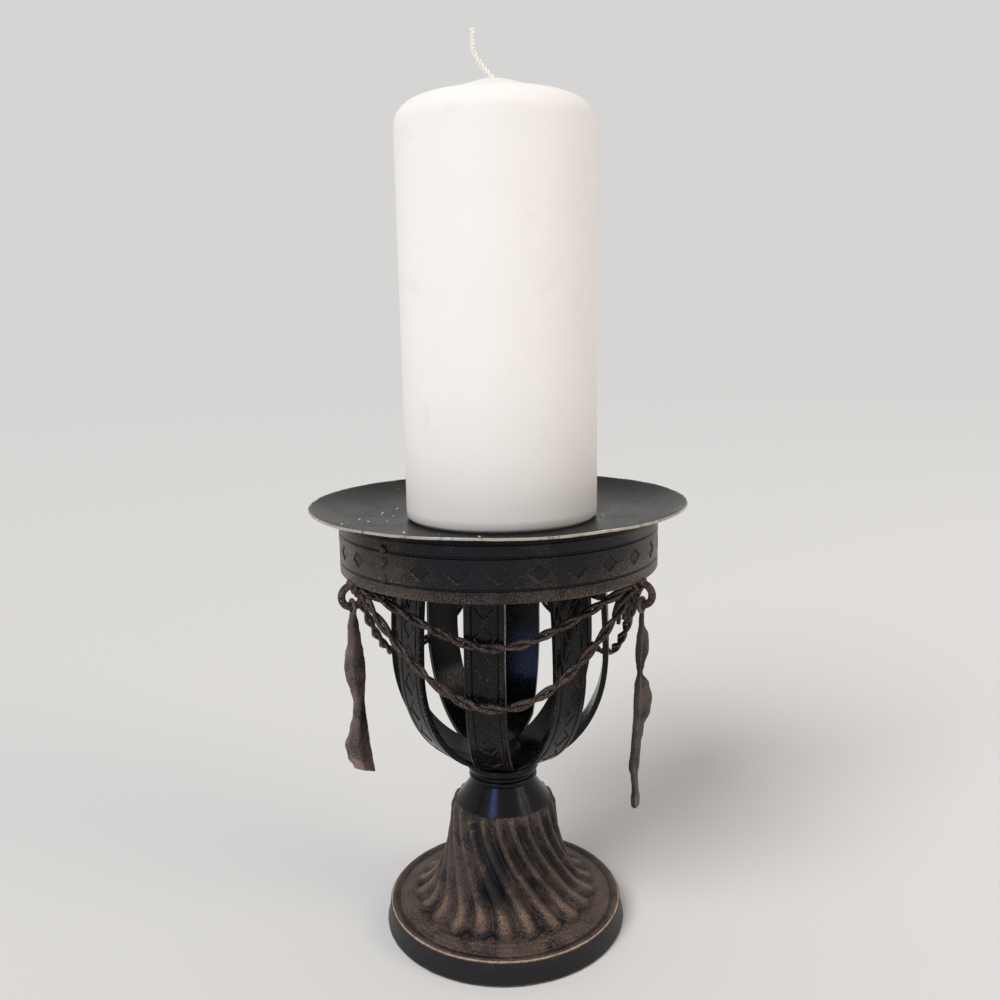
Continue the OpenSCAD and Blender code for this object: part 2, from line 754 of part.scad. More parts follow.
// wick that leans over at its tip
module wick() {
    levels = 10;
    sides = 8;
    color(wax)
    translate([candle_offset, 0, candle_peak_z])
    loft([for (k = [0 : levels])
        let (u = k / levels, tilt = k == 0 ? 0 : atan(wick_lean / wick_h))
        [for (j = [0 : sides - 1])
            let (a = 360 * j / sides,
                 x = wick_d / 2 * cos(a) - wick_lean * (1.6 * u - 0.6 * u * u) * (u > 0 ? 1 : 0))
            [x, wick_d / 2 * sin(a), wick_h * u + wick_d / 2 * cos(a) * sin(tilt)]]]);
}

// ---- the whole stand -------------------------------------------------------------------

foot_plate();
fluted_bell();
neck_collar();
neck_ring();
tie_rod();
foot_washer();
foot_nut();
hub_plate();
hub_nut();
rib(0);  // rib_1
rib(1);  // rib_2
rib(2);  // rib_3
rib(3);  // rib_4
rib(4);  // rib_5
rib(5);  // rib_6
rib(6);  // rib_7
rib(7);  // rib_8
hoop();
hoop_seam_welds();
drip_pan();
hanging_ring(0);  // ring_left
hanging_ring(1);  // ring_right
hanging_ring(2);  // ring_rear
ring_welds();
knot(0);  // knot_left
knot(1);  // knot_right
knot(2);  // knot_rear
upper_swag(0);  // swag_upper_front
upper_swag(1);  // swag_upper_right
upper_swag(2);  // swag_upper_left
lower_swag(0);  // swag_lower_front
lower_swag(1);  // swag_lower_right
lower_swag(2);  // swag_lower_left
drop(0, short_drop, short_drop_len);  // drop_left
drop(1, long_drop, long_drop_len);  // drop_right
drop(2, short_drop, short_drop_len);  // drop_rear
candle();
wick();
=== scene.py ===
import bisect
import json
import math
import random

import bmesh
import bpy
from mathutils import Matrix, Vector, noise


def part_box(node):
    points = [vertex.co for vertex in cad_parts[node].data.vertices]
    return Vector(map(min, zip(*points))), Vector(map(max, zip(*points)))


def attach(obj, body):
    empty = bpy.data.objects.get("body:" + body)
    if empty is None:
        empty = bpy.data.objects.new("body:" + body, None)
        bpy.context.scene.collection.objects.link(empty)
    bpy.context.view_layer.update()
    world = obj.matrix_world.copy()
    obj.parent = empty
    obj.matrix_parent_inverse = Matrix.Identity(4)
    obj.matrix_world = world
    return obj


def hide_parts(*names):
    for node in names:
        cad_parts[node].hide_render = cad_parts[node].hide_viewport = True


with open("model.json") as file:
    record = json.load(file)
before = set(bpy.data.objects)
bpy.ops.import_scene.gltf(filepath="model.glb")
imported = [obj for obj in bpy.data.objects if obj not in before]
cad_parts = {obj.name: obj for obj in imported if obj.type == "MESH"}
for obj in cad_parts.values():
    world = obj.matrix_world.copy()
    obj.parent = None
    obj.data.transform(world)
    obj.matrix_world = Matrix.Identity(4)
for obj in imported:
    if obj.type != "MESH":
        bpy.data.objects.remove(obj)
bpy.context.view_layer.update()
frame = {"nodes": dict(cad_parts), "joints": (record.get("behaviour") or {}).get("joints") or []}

# ---- Foot plate ----
# A round sand casting of grey iron, 133 mm across at the table and hollow underneath. It
# is dipped in black lacquer and rubbed with bronze powder, which catches on the grain of
# the upper face. The edge of its rim has worn down to pale metal.

MM = 0.001
UP = Vector((0, 0, 1))
plate_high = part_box("foot_plate")[1]
plate_rim_z = 13.2 * MM
plate_lip, plate_step = 1.9 * MM, 1 * MM
plate_edge_round, plate_chamfer = 0.8 * MM, 1.2 * MM
ripple_h, ripple_pitch = 0.22 * MM, 2.7 * MM    # rings that the pattern left on the face
face_under_bell, face_steps = 4 * MM, 36
bare_line_w, foot_line_w = 0.36 * MM, 0.5 * MM      # how fast the rim's bare line and foot fade
hair = 0.1 * MM    # a small step, such as the slice in which a radius is read


def radii(node, low, high):
    """Least and greatest radius of a CAD node between two heights."""
    points = frame["nodes"][node].data.vertices
    found = [p.co.xy.length for p in points if low - 1e-6 <= p.co.z <= high + 1e-6]
    return min(found), max(found)


def turned(profile, steps):
    """A closed outline, or one that starts and ends on the axis, spun round the vertical axis."""
    bm = bmesh.new()
    chain = [bm.verts.new((radius, 0, height)) for radius, height in profile]
    closed = profile[0][0] > 1e-6 or profile[-1][0] > 1e-6
    following = chain[1:] + chain[:1] if closed else chain[1:]
    edges = [bm.edges.new(pair) for pair in zip(chain, following)]
    bmesh.ops.spin(bm, geom=chain + edges, cent=(0, 0, 0), axis=UP, angle=2 * math.pi,
                   steps=steps, use_merge=True)
    bmesh.ops.remove_doubles(bm, verts=bm.verts, dist=1e-7)
    bmesh.ops.recalc_face_normals(bm, faces=bm.faces)
    return bm


def round_edges(bm, angle, width, segments):
    """Rounds the edges that are sharper than an angle."""
    sharp = [e for e in bm.edges if len(e.link_faces) == 2 and e.calc_face_angle() > angle]
    bmesh.ops.bevel(bm, geom=sharp, offset=width, offset_type="OFFSET", segments=segments,
                    profile=0.5, affect="EDGES", material=-1, clamp_overlap=True)


def roughen(bm, size, depth, keep):
    """Uneven surface of a casting: moves each point along its normal, unless keep says no."""
    bm.normal_update()
    for v in bm.verts:
        if not keep(v.co):
            v.co += v.normal * depth * noise.fractal(v.co / size, 0.8, 2.1, 3)


def arc(centre, radius, start, end, steps):
    """Points of an arc, between two angles in degrees, as (radius, height) pairs."""
    angles = [math.radians(start + (end - start) * k / steps) for k in range(steps + 1)]
    return [(centre[0] + radius * math.cos(a), centre[1] + radius * math.sin(a)) for a in angles]


def smooth_step(low, high, value):
    """0 below low, 1 above high, and an eased step between them."""
    t = min(1, max(0, (value - low) / (high - low)))
    return t * t * (3 - 2 * t)


def mark_wear_and_light(bm, amount):
    """Gives every point a number for its lacquer to read: its wear, and on some pieces painted
    light and shade too.
    """
    wear_and_painted_light = bm.verts.layers.float.new("wear_and_painted_light")
    for v in bm.verts:
        v[wear_and_painted_light] = amount(v.co)


def shown(bm, name, material, crease):
    """A mesh as an object of the scene, smooth but for its creases."""
    mesh = bpy.data.meshes.new(name)
    bm.to_mesh(mesh)
    bm.free()
    mesh.shade_smooth()
    mesh.set_sharp_from_angle(angle=math.radians(crease))
    mesh.materials.append(material)
    made = bpy.data.objects.new(name, mesh)
    bpy.context.scene.collection.objects.link(made)
    return made


def piece(bm, name, material, body, nodes=(), crease=35):
    """A finished mesh that rides on a body and stands for the CAD nodes that it dresses."""
    made = shown(bm, name, material, crease)
    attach(made, body)
    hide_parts(*nodes)


def linear(text):
    """Linear RGBA of an sRGB hex colour."""
    parts = [int(text[k:k + 2], 16) / 255 for k in (1, 3, 5)]
    return [c / 12.92 if c < 0.04045 else ((c + 0.055) / 1.055) ** 2.4 for c in parts] + [1]


def feed(tree, node, inputs):
    """Gives each named input of a shader node a value or a link."""
    for socket, value in inputs.items():
        if isinstance(value, bpy.types.NodeSocket):
            tree.links.new(value, node.inputs[socket])
        else:
            node.inputs[socket].default_value = value


def add(tree, kind, inputs, output=0, **settings):
    """Adds a shader node, sets it and its inputs, and returns one of its outputs."""
    node = tree.nodes.new("ShaderNode" + kind)
    for name, value in settings.items():
        setattr(node, name, value)
    feed(tree, node, inputs)
    return node.outputs[output]


def plain_finish(name):
    """A new material, its node tree, its shader and the places of the points on the piece."""
    material = bpy.data.materials.new(name)
    material.use_nodes = True
    tree = material.node_tree
    return material, tree, tree.nodes["Principled BSDF"], add(tree, "TexCoord", {}, "Object")


def rubbed_lacquer(name, lacquer, patina, wear_and_painted_light, grain_mm, patch_mm, cover, gloss, relief_mm,
                   metal=0.5, specular=0.3):
    """Lacquer on iron. A patina lies on it in patches, and more of it where a point's mark of
    wear and painted light is high. Higher marks show a warmer metal, broken up by the grain,
    and marks past 1 show pale bare iron; where a piece marks painted light, these stand for
    painted highlights and sheen, and its low marks leave clean black lacquer as painted
    shade. Gloss is the lacquer's roughness."""
    material, tree, shader, place = plain_finish(name)
    grain = add(tree, "TexNoise", {"Vector": place, "Scale": 1 / (grain_mm * MM), "Detail": 3.0,
                                   "Roughness": 0.7})
    patch = add(tree, "TexNoise", {"Vector": place, "Scale": 1 / (patch_mm * MM), "Detail": 7.0,
                                   "Roughness": 0.66, "Distortion": 0.5})
    wear_and_light = add(tree, "Attribute", {}, "Fac", attribute_name="wear_and_painted_light")
    speckle = add(tree, "Math", {0: grain, 1: 0.5}, operation="SUBTRACT")
    spread = add(tree, "Math", {0: wear_and_light, 1: 0.3, 2: patch}, operation="MULTIPLY_ADD")
    cloud = add(tree, "Math", {0: speckle, 1: 1.25, 2: spread}, operation="MULTIPLY_ADD")
    film = add(tree, "MapRange", {"Value": cloud, "From Min": 0.6 - 0.3 * cover,
                                  "From Max": 0.78 - 0.3 * cover, "To Max": min(1, cover * 1.3)},
               interpolation_type="SMOOTHSTEP")
    broken = add(tree, "Math", {0: speckle, 1: 2.6, 2: wear_and_light}, operation="MULTIPLY_ADD")
    bare = add(tree, "MapRange", {"Value": broken, "From Min": 0.32, "From Max": 0.9},
               interpolation_type="SMOOTHSTEP")
    bright = add(tree, "MapRange", {"Value": broken, "From Min": 1.05, "From Max": 1.5})
    colour = linear(lacquer)
    for share, tone in ((film, patina), (bare, wear_and_painted_light), (bright, "#bcae98")):
        colour = add(tree, "Mix", {0: share, 6: colour, 7: linear(tone)}, 2, data_type="RGBA")
    dull = add(tree, "MapRange", {"Value": film, "To Min": gloss, "To Max": gloss + 0.22})
    rough = add(tree, "Math", {0: speckle, 1: 0.5, 2: dull}, operation="MULTIPLY_ADD",
                use_clamp=True)
    metallic = add(tree, "Math", {0: bare, 1: metal}, operation="MULTIPLY")
    height = add(tree, "Math", {0: patch, 1: 0.35, 2: grain}, operation="MULTIPLY_ADD")
    bump = add(tree, "Bump", {"Height": height, "Strength": 1.0, "Distance": relief_mm * MM})
    feed(tree, shader, {"Base Color": colour, "Specular IOR Level": specular,
                        "Roughness": rough, "Metallic": metallic, "Normal": bump})
    return material


# sand-cast iron, lacquered and bronzed: a fine grain whose tops look coppery
bronzed_casting = rubbed_lacquer("bronzed_sand_casting", "#151415", "#584b42", "#977863",
                                 grain_mm=0.7, patch_mm=16, cover=0.6, gloss=0.36, relief_mm=0.45,
                                 metal=0.4)

plate_edge_r = radii("foot_plate", plate_rim_z - hair, plate_rim_z)[1]
plate_bore_r = radii("foot_plate", 0, plate_high.z)[0]
plate_recess_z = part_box("foot_washer")[1].z
plate_wall_r = radii("foot_plate", 0, hair)[0]
plate_draft = (plate_high.x - plate_edge_r) / plate_rim_z
bell_low, bell_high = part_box("fluted_bell")
bell_foot_r = radii("fluted_bell", bell_low.z, bell_low.z + 0.5 * MM)[1]
lip_r = plate_edge_r - plate_lip
face_r, face_z = lip_r - plate_step, plate_rim_z - plate_step
face = []
for k in range(face_steps + 1):
    u = k / face_steps
    radius = face_r + (bell_foot_r - face_under_bell - face_r) * u
    rise = smooth_step(0, 1, (face_r - radius) / (face_r - bell_foot_r))
    ripple = ripple_h * math.cos(2 * math.pi * (face_r - radius) / ripple_pitch) * (1 - u) ** 0.5
    face.append((radius, min(bell_low.z, face_z + (bell_low.z - face_z) * rise + ripple)))
plate = turned([(plate_bore_r, plate_recess_z),
                (plate_wall_r - plate_draft * plate_recess_z, plate_recess_z), (plate_wall_r, 0),
                (plate_high.x - plate_chamfer, 0), (plate_high.x, plate_chamfer),
                ((plate_high.x + plate_edge_r) / 2, plate_rim_z / 2),
                (plate_edge_r + 0.75 * plate_chamfer, plate_rim_z - plate_chamfer),
                (plate_edge_r, plate_rim_z), (lip_r, plate_rim_z)]
               + face + [(plate_bore_r, bell_low.z)], steps=300)
round_edges(plate, math.radians(38), plate_edge_round, segments=3)
roughen(plate, size=6 * MM, depth=0.14 * MM, keep=lambda co: co.z < 3 * hair)


def plate_wear(co):
    """Bare along the rim's upper edge, bronzed on the upper face and black on the side, with a
    lighter line along the bottom edge.
    """
    edge = math.hypot(co.xy.length - plate_edge_r - 2 * hair, co.z - plate_rim_z + 3 * hair)
    line = 1.9 - edge / bare_line_w + 0.8 * noise.noise(co / (2.5 * MM))
    top = smooth_step(plate_rim_z - 1.5 * MM, plate_rim_z - 0.6 * MM, co.z)
    face_wear = -1.1 + top * (1.38 + 0.16 * noise.noise(co / (9 * MM)))
    foot_edge = 0.3 - max(0, co.z - plate_chamfer - 2 * hair) / foot_line_w
    return max(face_wear, line, foot_edge)


mark_wear_and_light(plate, plate_wear)
piece(plate, "cast_foot_plate", bronzed_casting, "stand", ["foot_plate"])

# ---- Fluted bell ----
# A hollow casting whose 22 round flutes start upright under the collar, swirl to the
# right on their way down, and end in thick fingertips on the foot plate. Polishing has
# rubbed the lacquer off the crests, most of all at the fingertips. The hollows between
# the flutes are painted black as shade.

bell_neck_r = 28.6 * MM
flutes = 22
flute_depth = 2.8 * MM
flute_twist = 40.0
flute_phase = -0.5
tip_r, bell_shoulder = 2.6 * MM, 1.4 * MM    # rounds at a fingertip's end and at the top
flute_steps, bell_levels, tip_levels = 18, 80, 10
dark_patch_az, dark_patch_spread = 352, 16    # a darker patch left of the front, in degrees


def shaped_grid(across, along, place):
    """A grid of quads, put by place(i, j). Its seams close and its open ends are filled."""
    bm = bmesh.new()
    bmesh.ops.create_grid(bm, x_segments=across, y_segments=along, size=0.5)
    wear_and_painted_light = bm.verts.layers.float.new("wear_and_painted_light")
    for v in bm.verts:
        i, j = round((v.co.x + 0.5) * across), round((v.co.y + 0.5) * along)
        v.co, v[wear_and_painted_light] = place(i, j)
    bmesh.ops.remove_doubles(bm, verts=bm.verts, dist=1e-7)
    bmesh.ops.holes_fill(bm, edges=[e for e in bm.edges if e.is_boundary], sides=0)
    bmesh.ops.recalc_face_normals(bm, faces=bm.faces)
    return bm


def polar(radius, azimuth, height):
    """A point at an azimuth that is counted from the front towards +X, in degrees."""
    angle = math.radians(azimuth)
    return Vector((radius * math.sin(angle), -radius * math.cos(angle), height))


def bell_crest(t):
    """Radius and height of the crest line: from the top (0) to where the fingertips begin to
    round off (1), and down that round to the plate (2)."""
    low_z = bell_low.z + tip_r
    height = low_z + (bell_high.z - low_z) * (1 - min(t, 1)) ** 1.35
    u = 1 - (height - low_z) / (bell_high.z - low_z)
    swell = 0.25 * u + 0.5 * u ** 3 + 0.25 * u ** 20
    shoulder = bell_shoulder * max(0, 1 - 12 * u) ** 2
    fall = math.pi / 2 * max(0, t - 1)
    return (bell_neck_r + (bell_foot_r - tip_r - bell_neck_r) * swell - shoulder
            + tip_r * math.sin(fall), height - tip_r * (1 - math.cos(fall)))


def bell_point(i, j):
    """A point of the fluted skin, with its wear and painted shade. x runs from -1 to 1 across a
    flute, whose ridge is fuller towards the foot, where a thin web parts it from the next."""
    t = j / bell_levels if j < bell_levels else 1 + (j - bell_levels) / tip_levels
    way = min(t, 1)
    radius, height = bell_crest(t)
    turn = flute_phase - flute_twist * (1 - smooth_step(0, 1, way ** 0.9))
    x = 2 * (i / flute_steps % 1) - 1
    ridge = max(0, 1 - (1.08 * x) ** 2) ** (0.95 + 0.75 * (1 - way))
    web = 0.3 * max(0, 1 - (1 - abs(x)) / 0.14) * smooth_step(0.4, 0.75, way)
    depth = 1.08 * flute_depth * min(1, 7 * way + 0.35) * (1 + 0.5 * way * way)
    azimuth = turn + 360 * (i + 0.5 * flute_steps) / (flutes * flute_steps)
    finger = smooth_step(0.62, 0.85, way) * (1 - 0.9 * smooth_step(1, 1.4, t))
    # painted shade: the hollows between the flutes are marked low so they stay black; the crests
    # carry wear, most of all at the fingertips
    shine = -1.0 + ridge ** 0.8 * (1.2 + 0.35 * finger) + 0.12 * (ridge > 0.9) * (1 - way)
    shine = max(shine, 1.3 * web * (1 - smooth_step(1, 1.3, t)))
    shine += 0.2 * noise.noise(Vector((azimuth / 14, height / (9 * MM), 3)))
    # a darker patch left of the front, away from the fingertips
    dark_patch = math.exp(-((azimuth % 360 - dark_patch_az) / dark_patch_spread) ** 2) * (1 - finger)
    shine -= 0.5 * dark_patch * smooth_step(0.1, 0.3, way)
    return polar(radius - depth * (1 - max(ridge, web)), azimuth, height), shine


bell = shaped_grid(flutes * flute_steps, bell_levels + tip_levels, bell_point)
roughen(bell, size=4 * MM, depth=0.16 * MM,
        keep=lambda co: not bell_low.z + hair <= co.z <= bell_high.z - hair)
piece(bell, "swirled_bell", bronzed_casting, "stand", ["fluted_bell"])

# ---- Collar and neck ring ----
# A smooth turned cone stands on the bell, with a small bead on its upper end, and carries
# a half-round ring. Both are turned from steel and have a full coat of gloss black. Their
# left and right sides are painted lighter as a sheen.

collar_low, collar_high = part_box("neck_collar")
neck_low, neck_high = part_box("neck_ring")
collar_foot_r = radii("neck_collar", collar_low.z, collar_low.z + hair)[1]
collar_top_r = radii("neck_collar", collar_high.z - hair, collar_high.z)[1]
bore_r = radii("neck_collar", collar_low.z, collar_high.z)[0]
bead_r, bead_drop, cone_steps = 1.7 * MM, 1.2 * MM, 14
# brushed black lacquer, still wet-looking, with a little brown dust in its hollows; on the
# collar's sides its brown film is a painted sheen, and on the straps its warm metal beside the
# rolled lines is a painted highlight
gloss_lacquer = rubbed_lacquer("gloss_black_lacquer", "#0a0a0c", "#2c2521", "#6c5e54",
                               grain_mm=1.0, patch_mm=24, cover=0.32, gloss=0.2, relief_mm=0.02,
                               metal=0.3, specular=0.2)
bead_z = collar_high.z - bead_drop - bead_r
cone = []
for k in range(cone_steps + 1):
    down = 1 - k / cone_steps
    radius = collar_top_r + (collar_foot_r - collar_top_r) * (0.85 * down + 0.15 * down * down)
    cone.append((radius, collar_low.z + (bead_z - bead_r - collar_low.z) * (1 - down)))
collar = turned([(bore_r, collar_low.z)] + cone + arc((collar_top_r, bead_z), bead_r, -80, 80, 10)
                + [(collar_top_r, collar_high.z), (bore_r, collar_high.z)], steps=160)

half_h = (neck_high.z - neck_low.z) / 2
neck = turned([(bore_r, neck_low.z)]
              + arc((neck_high.x - half_h, neck_low.z + half_h), half_h, -90, 90, 16)
              + [(bore_r, neck_high.z)], steps=160)
for bm, name, node, front in ((collar, "turned_collar", "neck_collar", -0.55),
                              (neck, "half_round_neck_ring", "neck_ring", -0.45)):
    mark_wear_and_light(bm, lambda co: front + 0.7 * abs(co.x) / collar_foot_r)    # painted sheen: lighter towards its left and right sides as seen from the front
    piece(bm, name, gloss_lacquer, "stand", [node])

# ---- Bowl straps ----
# Eight flat iron bars, 20 by 3 mm, bent to the curve of an urn. A rolled line runs inside
# each edge, and a punch has struck a row of diamonds down the middle. Their feet are
# mitred round the rod and clamped on the neck ring, and they are lacquered gloss black.
# A pale line beside each rolled line is a painted highlight.

strap_w, strap_t = 20 * MM, 3 * MM
belly_r, belly_z = 58.2 * MM, 156 * MM
strap_top_r, strap_foot_r = 52 * MM, 10 * MM
strap_count, strap_phase, rear_turn = 8, -8.0, -6.0
mitre_gap = 0.3 * MM
line_inset, line_w, line_depth = 3.5 * MM, 1.3 * MM, 0.6 * MM
punch_w, punch_h, punch_pitch, punch_depth = 10.4 * MM, 13.4 * MM, 15.2 * MM, 0.55 * MM
punch_start, punch_count = 18.3 * MM, 9
edge_round, edge_w, line_highlight_w = 0.5 * MM, 0.6 * MM, 0.7 * MM
face_points, side_points, back_points, strap_levels = 52, 4, 8, 380
bowl_top_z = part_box("rib_1")[1].z
bowl_seat_z = neck_high.z

bend = [(bore_r + mitre_gap, bowl_seat_z)]
bend += [(strap_foot_r + (belly_r - strap_foot_r) * math.sin(math.pi * k / 160),
          belly_z - (belly_z - bowl_seat_z) * math.cos(math.pi * k / 160)) for k in range(81)]
bend += [(belly_r - (belly_r - strap_top_r) * (k / 40) ** 2,
          belly_z + (bowl_top_z - belly_z) * k / 40) for k in range(1, 41)]


def lengths_along(points):
    """Length of a line up to each of its points."""
    lengths = [0.0]
    for a, b in zip(points, points[1:]):
        lengths.append(lengths[-1] + math.dist(a, b))
    return lengths


bend_length = lengths_along(bend)
strap_len = bend_length[-1]


def strap_line(s):
    """Radius and height of a strap's outer face at a length along it."""
    k = min(bisect.bisect_right(bend_length, s), len(bend) - 1)
    t = (s - bend_length[k - 1]) / (bend_length[k] - bend_length[k - 1])
    return [a + (b - a) * t for a, b in zip(bend[k - 1], bend[k])]


def groove(distance, width, depth):
    """Depth of a rolled line at a distance from its middle."""
    return depth * max(0, 1 - (2 * distance / width) ** 2)


def punched(x, y, width, height, depth):
    """Depth of a punched diamond, with steep walls and a slightly deeper outline."""
    inside = 1 - 2 * abs(x) / width - 2 * abs(y) / height
    return depth * (smooth_step(0, 0.1, inside) - 0.4 * smooth_step(0.12, 0.35, inside))


def mitred(side, radius, turn):
    """Half width that the mitres round the rod leave a strap on one side, at a radius."""
    slope = math.tan(math.pi / strap_count)
    cos, sin = math.cos(turn), side * math.sin(turn)
    gap = mitre_gap / 2 / math.cos(math.pi / strap_count)
    return min(strap_w / 2, (radius * (slope * cos - sin) - gap) / (cos + slope * sin))


# outline of a strap's section as (share of the half width, share of the thickness)
side = [(1, (k + 1) / (side_points + 1)) for k in range(side_points)]
section = ([(2 * k / face_points - 1, 0) for k in range(face_points + 1)] + side
           + [(1 - 2 * k / back_points, 1) for k in range(back_points + 1)]
           + [(-x, 1 - y) for x, y in side] + [(-1, 0)])


def strap_point(azimuth, turn, seed):
    """Makes the function that puts the points of one strap."""
    rows = []
    for j in range(strap_levels + 1):
        s = strap_len * j / strap_levels
        r0, z0 = strap_line(max(0, s - 4 * hair))
        r1, z1 = strap_line(min(strap_len, s + 4 * hair))
        run = math.hypot(r1 - r0, z1 - z0)
        rows.append((s, *strap_line(s), (z1 - z0) / run, -(r1 - r0) / run))

    def place(i, j):
        s, radius, height, out_r, out_z = rows[j]
        across, deep = section[i]
        half = mitred(1 if across > 0 else -1, radius - strap_t * out_r, turn)
        x = across * half
        depth = deep * strap_t
        shine = 0.0
        if deep == 0:
            edge = strap_w / 2 - abs(x)
            down = strap_len - s - punch_start
            y = down - punch_pitch * min(max(round(down / punch_pitch), 0), punch_count - 1)
            rim = 2 * abs(x) / punch_w + 2 * abs(y) / punch_h
            depth += groove(abs(edge - line_inset), line_w, line_depth)
            depth += punched(x, y, punch_w, punch_h, punch_depth)
            depth += edge_round * max(0, 1 - (half - abs(x)) / edge_w) ** 2
            chance = 0.5 + 0.9 * noise.noise(Vector((x, s, seed)) / (7 * MM))
            # painted highlight: a pale line beside each rolled line; the edges and the diamonds'
            # outlines carry wear
            shine = 0.55 * max(0, 1 - abs(edge - line_inset + line_w) / line_highlight_w)
            shine = max(shine, 0.6 * max(0, 1 - (half - abs(x)) / (0.8 * MM)))
            shine = max(shine, 0.75 - 9 * abs(rim - 1.05)) * chance
        radius -= depth * out_r
        height -= depth * out_z
        return polar(radius, azimuth, height) + x * polar(1, azimuth + 90, 0), max(0, shine)
    return place


for number in range(strap_count):
    turn = rear_turn if number == strap_count // 2 else 0.0
    azimuth = strap_phase + number * 360 / strap_count + turn
    strap = shaped_grid(len(section) - 1, strap_levels,
                        strap_point(azimuth, math.radians(turn), 9 * MM * number))
    piece(strap, f"bowl_strap_{number + 1}", gloss_lacquer, "stand",
          [f"rib_{number + 1}"])

# ---- Hoop ----
# A flat band rolled to a ring 167 mm across and closed by a butt weld on the left. It has
# a rolled line inside each edge and a row of 27 punched diamonds that stops short of the
# weld. A grey-brown patina lies thinly on its black lacquer. Its left and right sides are
# painted lighter as a sheen, a band along the bottom edge is lighter, the lower left edges
# of the diamonds carry painted highlights, and the diamonds and rolled lines are painted
# black as shade.

hoop_low, hoop_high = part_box("hoop")
hoop_r = hoop_high.x
hoop_t = hoop_r - radii("hoop", hoop_low.z, hoop_high.z)[0]
hoop_h = hoop_high.z - hoop_low.z
hoop_line_inset, hoop_line_w, hoop_line_depth = 6 * MM, 1.4 * MM, 0.6 * MM
hoop_lip, hoop_lip_w, hoop_back_drop = 0.4 * MM, 0.7 * MM, 0.6 * MM
pale_band_h, pale_band_fade = 5.4 * MM, 7 * MM
diamonds, diamond_w, diamond_h, diamond_depth = 27, 10.7 * MM, 8.6 * MM, 0.65 * MM
seam_az, seam_gap, seam_w, seam_depth = -40.0, 28.6, 0.6 * MM, 0.35 * MM
diamond_turn = (360 - seam_gap) / (diamonds - 1)
hoop_rows, hoop_back_rows, hoop_columns = 56, 8, 1080
diamond_z = (hoop_low.z + hoop_high.z) / 2
# the same lacquer after years of dust and handling: a thin, finely speckled grey-brown film; on
# the hoop, more of it towards the sides is a painted sheen
patina_lacquer = rubbed_lacquer("lacquer_with_patina", "#111113", "#4a4038", "#7f6d60",
                                grain_mm=0.7, patch_mm=30, cover=0.5, gloss=0.26, relief_mm=0.14,
                                metal=0.2, specular=0.22)


def hoop_point(i, j):
    """A point of the hoop: its outer face from the bottom up, then over the inner face."""
    azimuth = 360 * j / hoop_columns
    if i > hoop_rows:
        back = (i - hoop_rows) / hoop_back_rows
        inner = hoop_r - hoop_t * min(1, back / 0.25)
        fall = (hoop_h - hoop_back_drop) * max(0, min(1, (back - 0.25) / 0.75))
        z = hoop_high.z - hoop_back_drop - fall if back < 1 else hoop_low.z
        return polar(inner, azimuth, z), 0.1
    z = hoop_low.z + hoop_h * i / hoop_rows
    offset = (azimuth - seam_az) % 360 - seam_gap / 2
    nearest = min(max(round(offset / diamond_turn), 0), diamonds - 1)
    x = math.radians(offset - nearest * diamond_turn) * hoop_r
    y = z - diamond_z
    edge = min(z - hoop_low.z, hoop_high.z - z)
    line = groove(abs(edge - hoop_line_inset), hoop_line_w, hoop_line_depth)
    stamp = punched(x, y, diamond_w, diamond_h, diamond_depth)
    gap = math.radians(abs((azimuth - seam_az + 180) % 360 - 180)) * hoop_r
    seam = seam_depth * max(0, 1 - (gap / seam_w) ** 2)
    lip = hoop_lip * max(0, 1 - edge / hoop_lip_w) ** 2
    rim = 2 * abs(x) / diamond_w + 2 * abs(y) / diamond_h
    side = abs(math.sin(math.radians(azimuth)))
    # painted sheen: lighter towards the left and right sides as seen from the front, over random
    # patches
    shine = -0.75 + 1.3 * side ** 0.9 + 0.3 * noise.noise(Vector((azimuth / 16, z / (12 * MM), 5)))
    # a band along the bottom edge is marked lighter, fading upwards, and more at the sides, where
    # it is painted sheen
    if z < hoop_low.z + pale_band_h:
        shine = max(shine, (0.25 + 0.3 * side) * (1 - (z - hoop_low.z) / pale_band_fade))
    # painted highlight: the lower left edges of each diamond are lit, more at the sides
    lit = 0.4 + 0.4 * side if x < 0 and y < 0 else 0.25 * side
    shine = max(shine, lit - 5 * abs(rim - 1.1))
    # painted shade: the diamonds' floors and the rolled lines stay black
    shine = -0.8 if rim < 0.95 or line > hair else shine
    return polar(hoop_r - line - stamp - seam - lip, azimuth, z), shine


hoop_round = hoop_rows + hoop_back_rows + 1
hoop = shaped_grid(hoop_round, hoop_columns,
                   lambda i, j: hoop_point(i % hoop_round, j % hoop_columns))
piece(hoop, "rolled_hoop", patina_lacquer, "stand", ["hoop"])

# ---- Drip pan ----
# A shallow saucer pressed from 1.2 mm sheet. Its lacquer has dulled to an olive black with
# turning marks round the middle, its raw edge has worn bright, and crumbs of wax lie on it.

pan_low, pan_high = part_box("drip_pan")
pan_r = pan_high.x
candle_low, candle_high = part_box("candle")
pan_floor_z = candle_low.z
pan_t = pan_floor_z - pan_low.z
pan_floor_r, pan_edge_w, pan_wave = 59 * MM, 0.7 * MM, 0.35 * MM
pan_run, pan_rise = pan_r - pan_floor_r, pan_high.z - pan_floor_z
dish_r = (pan_run ** 2 + pan_rise ** 2) / (2 * pan_rise)


def flank(depth, steps):
    """The dish's round flank as (radius, height) points, at a depth under its upper face."""
    radius = dish_r + depth
    end = math.asin(pan_run / radius)
    return [(pan_floor_r + radius * math.sin(end * k / steps),
             pan_floor_z + dish_r - radius * math.cos(end * k / steps)) for k in range(steps + 1)]


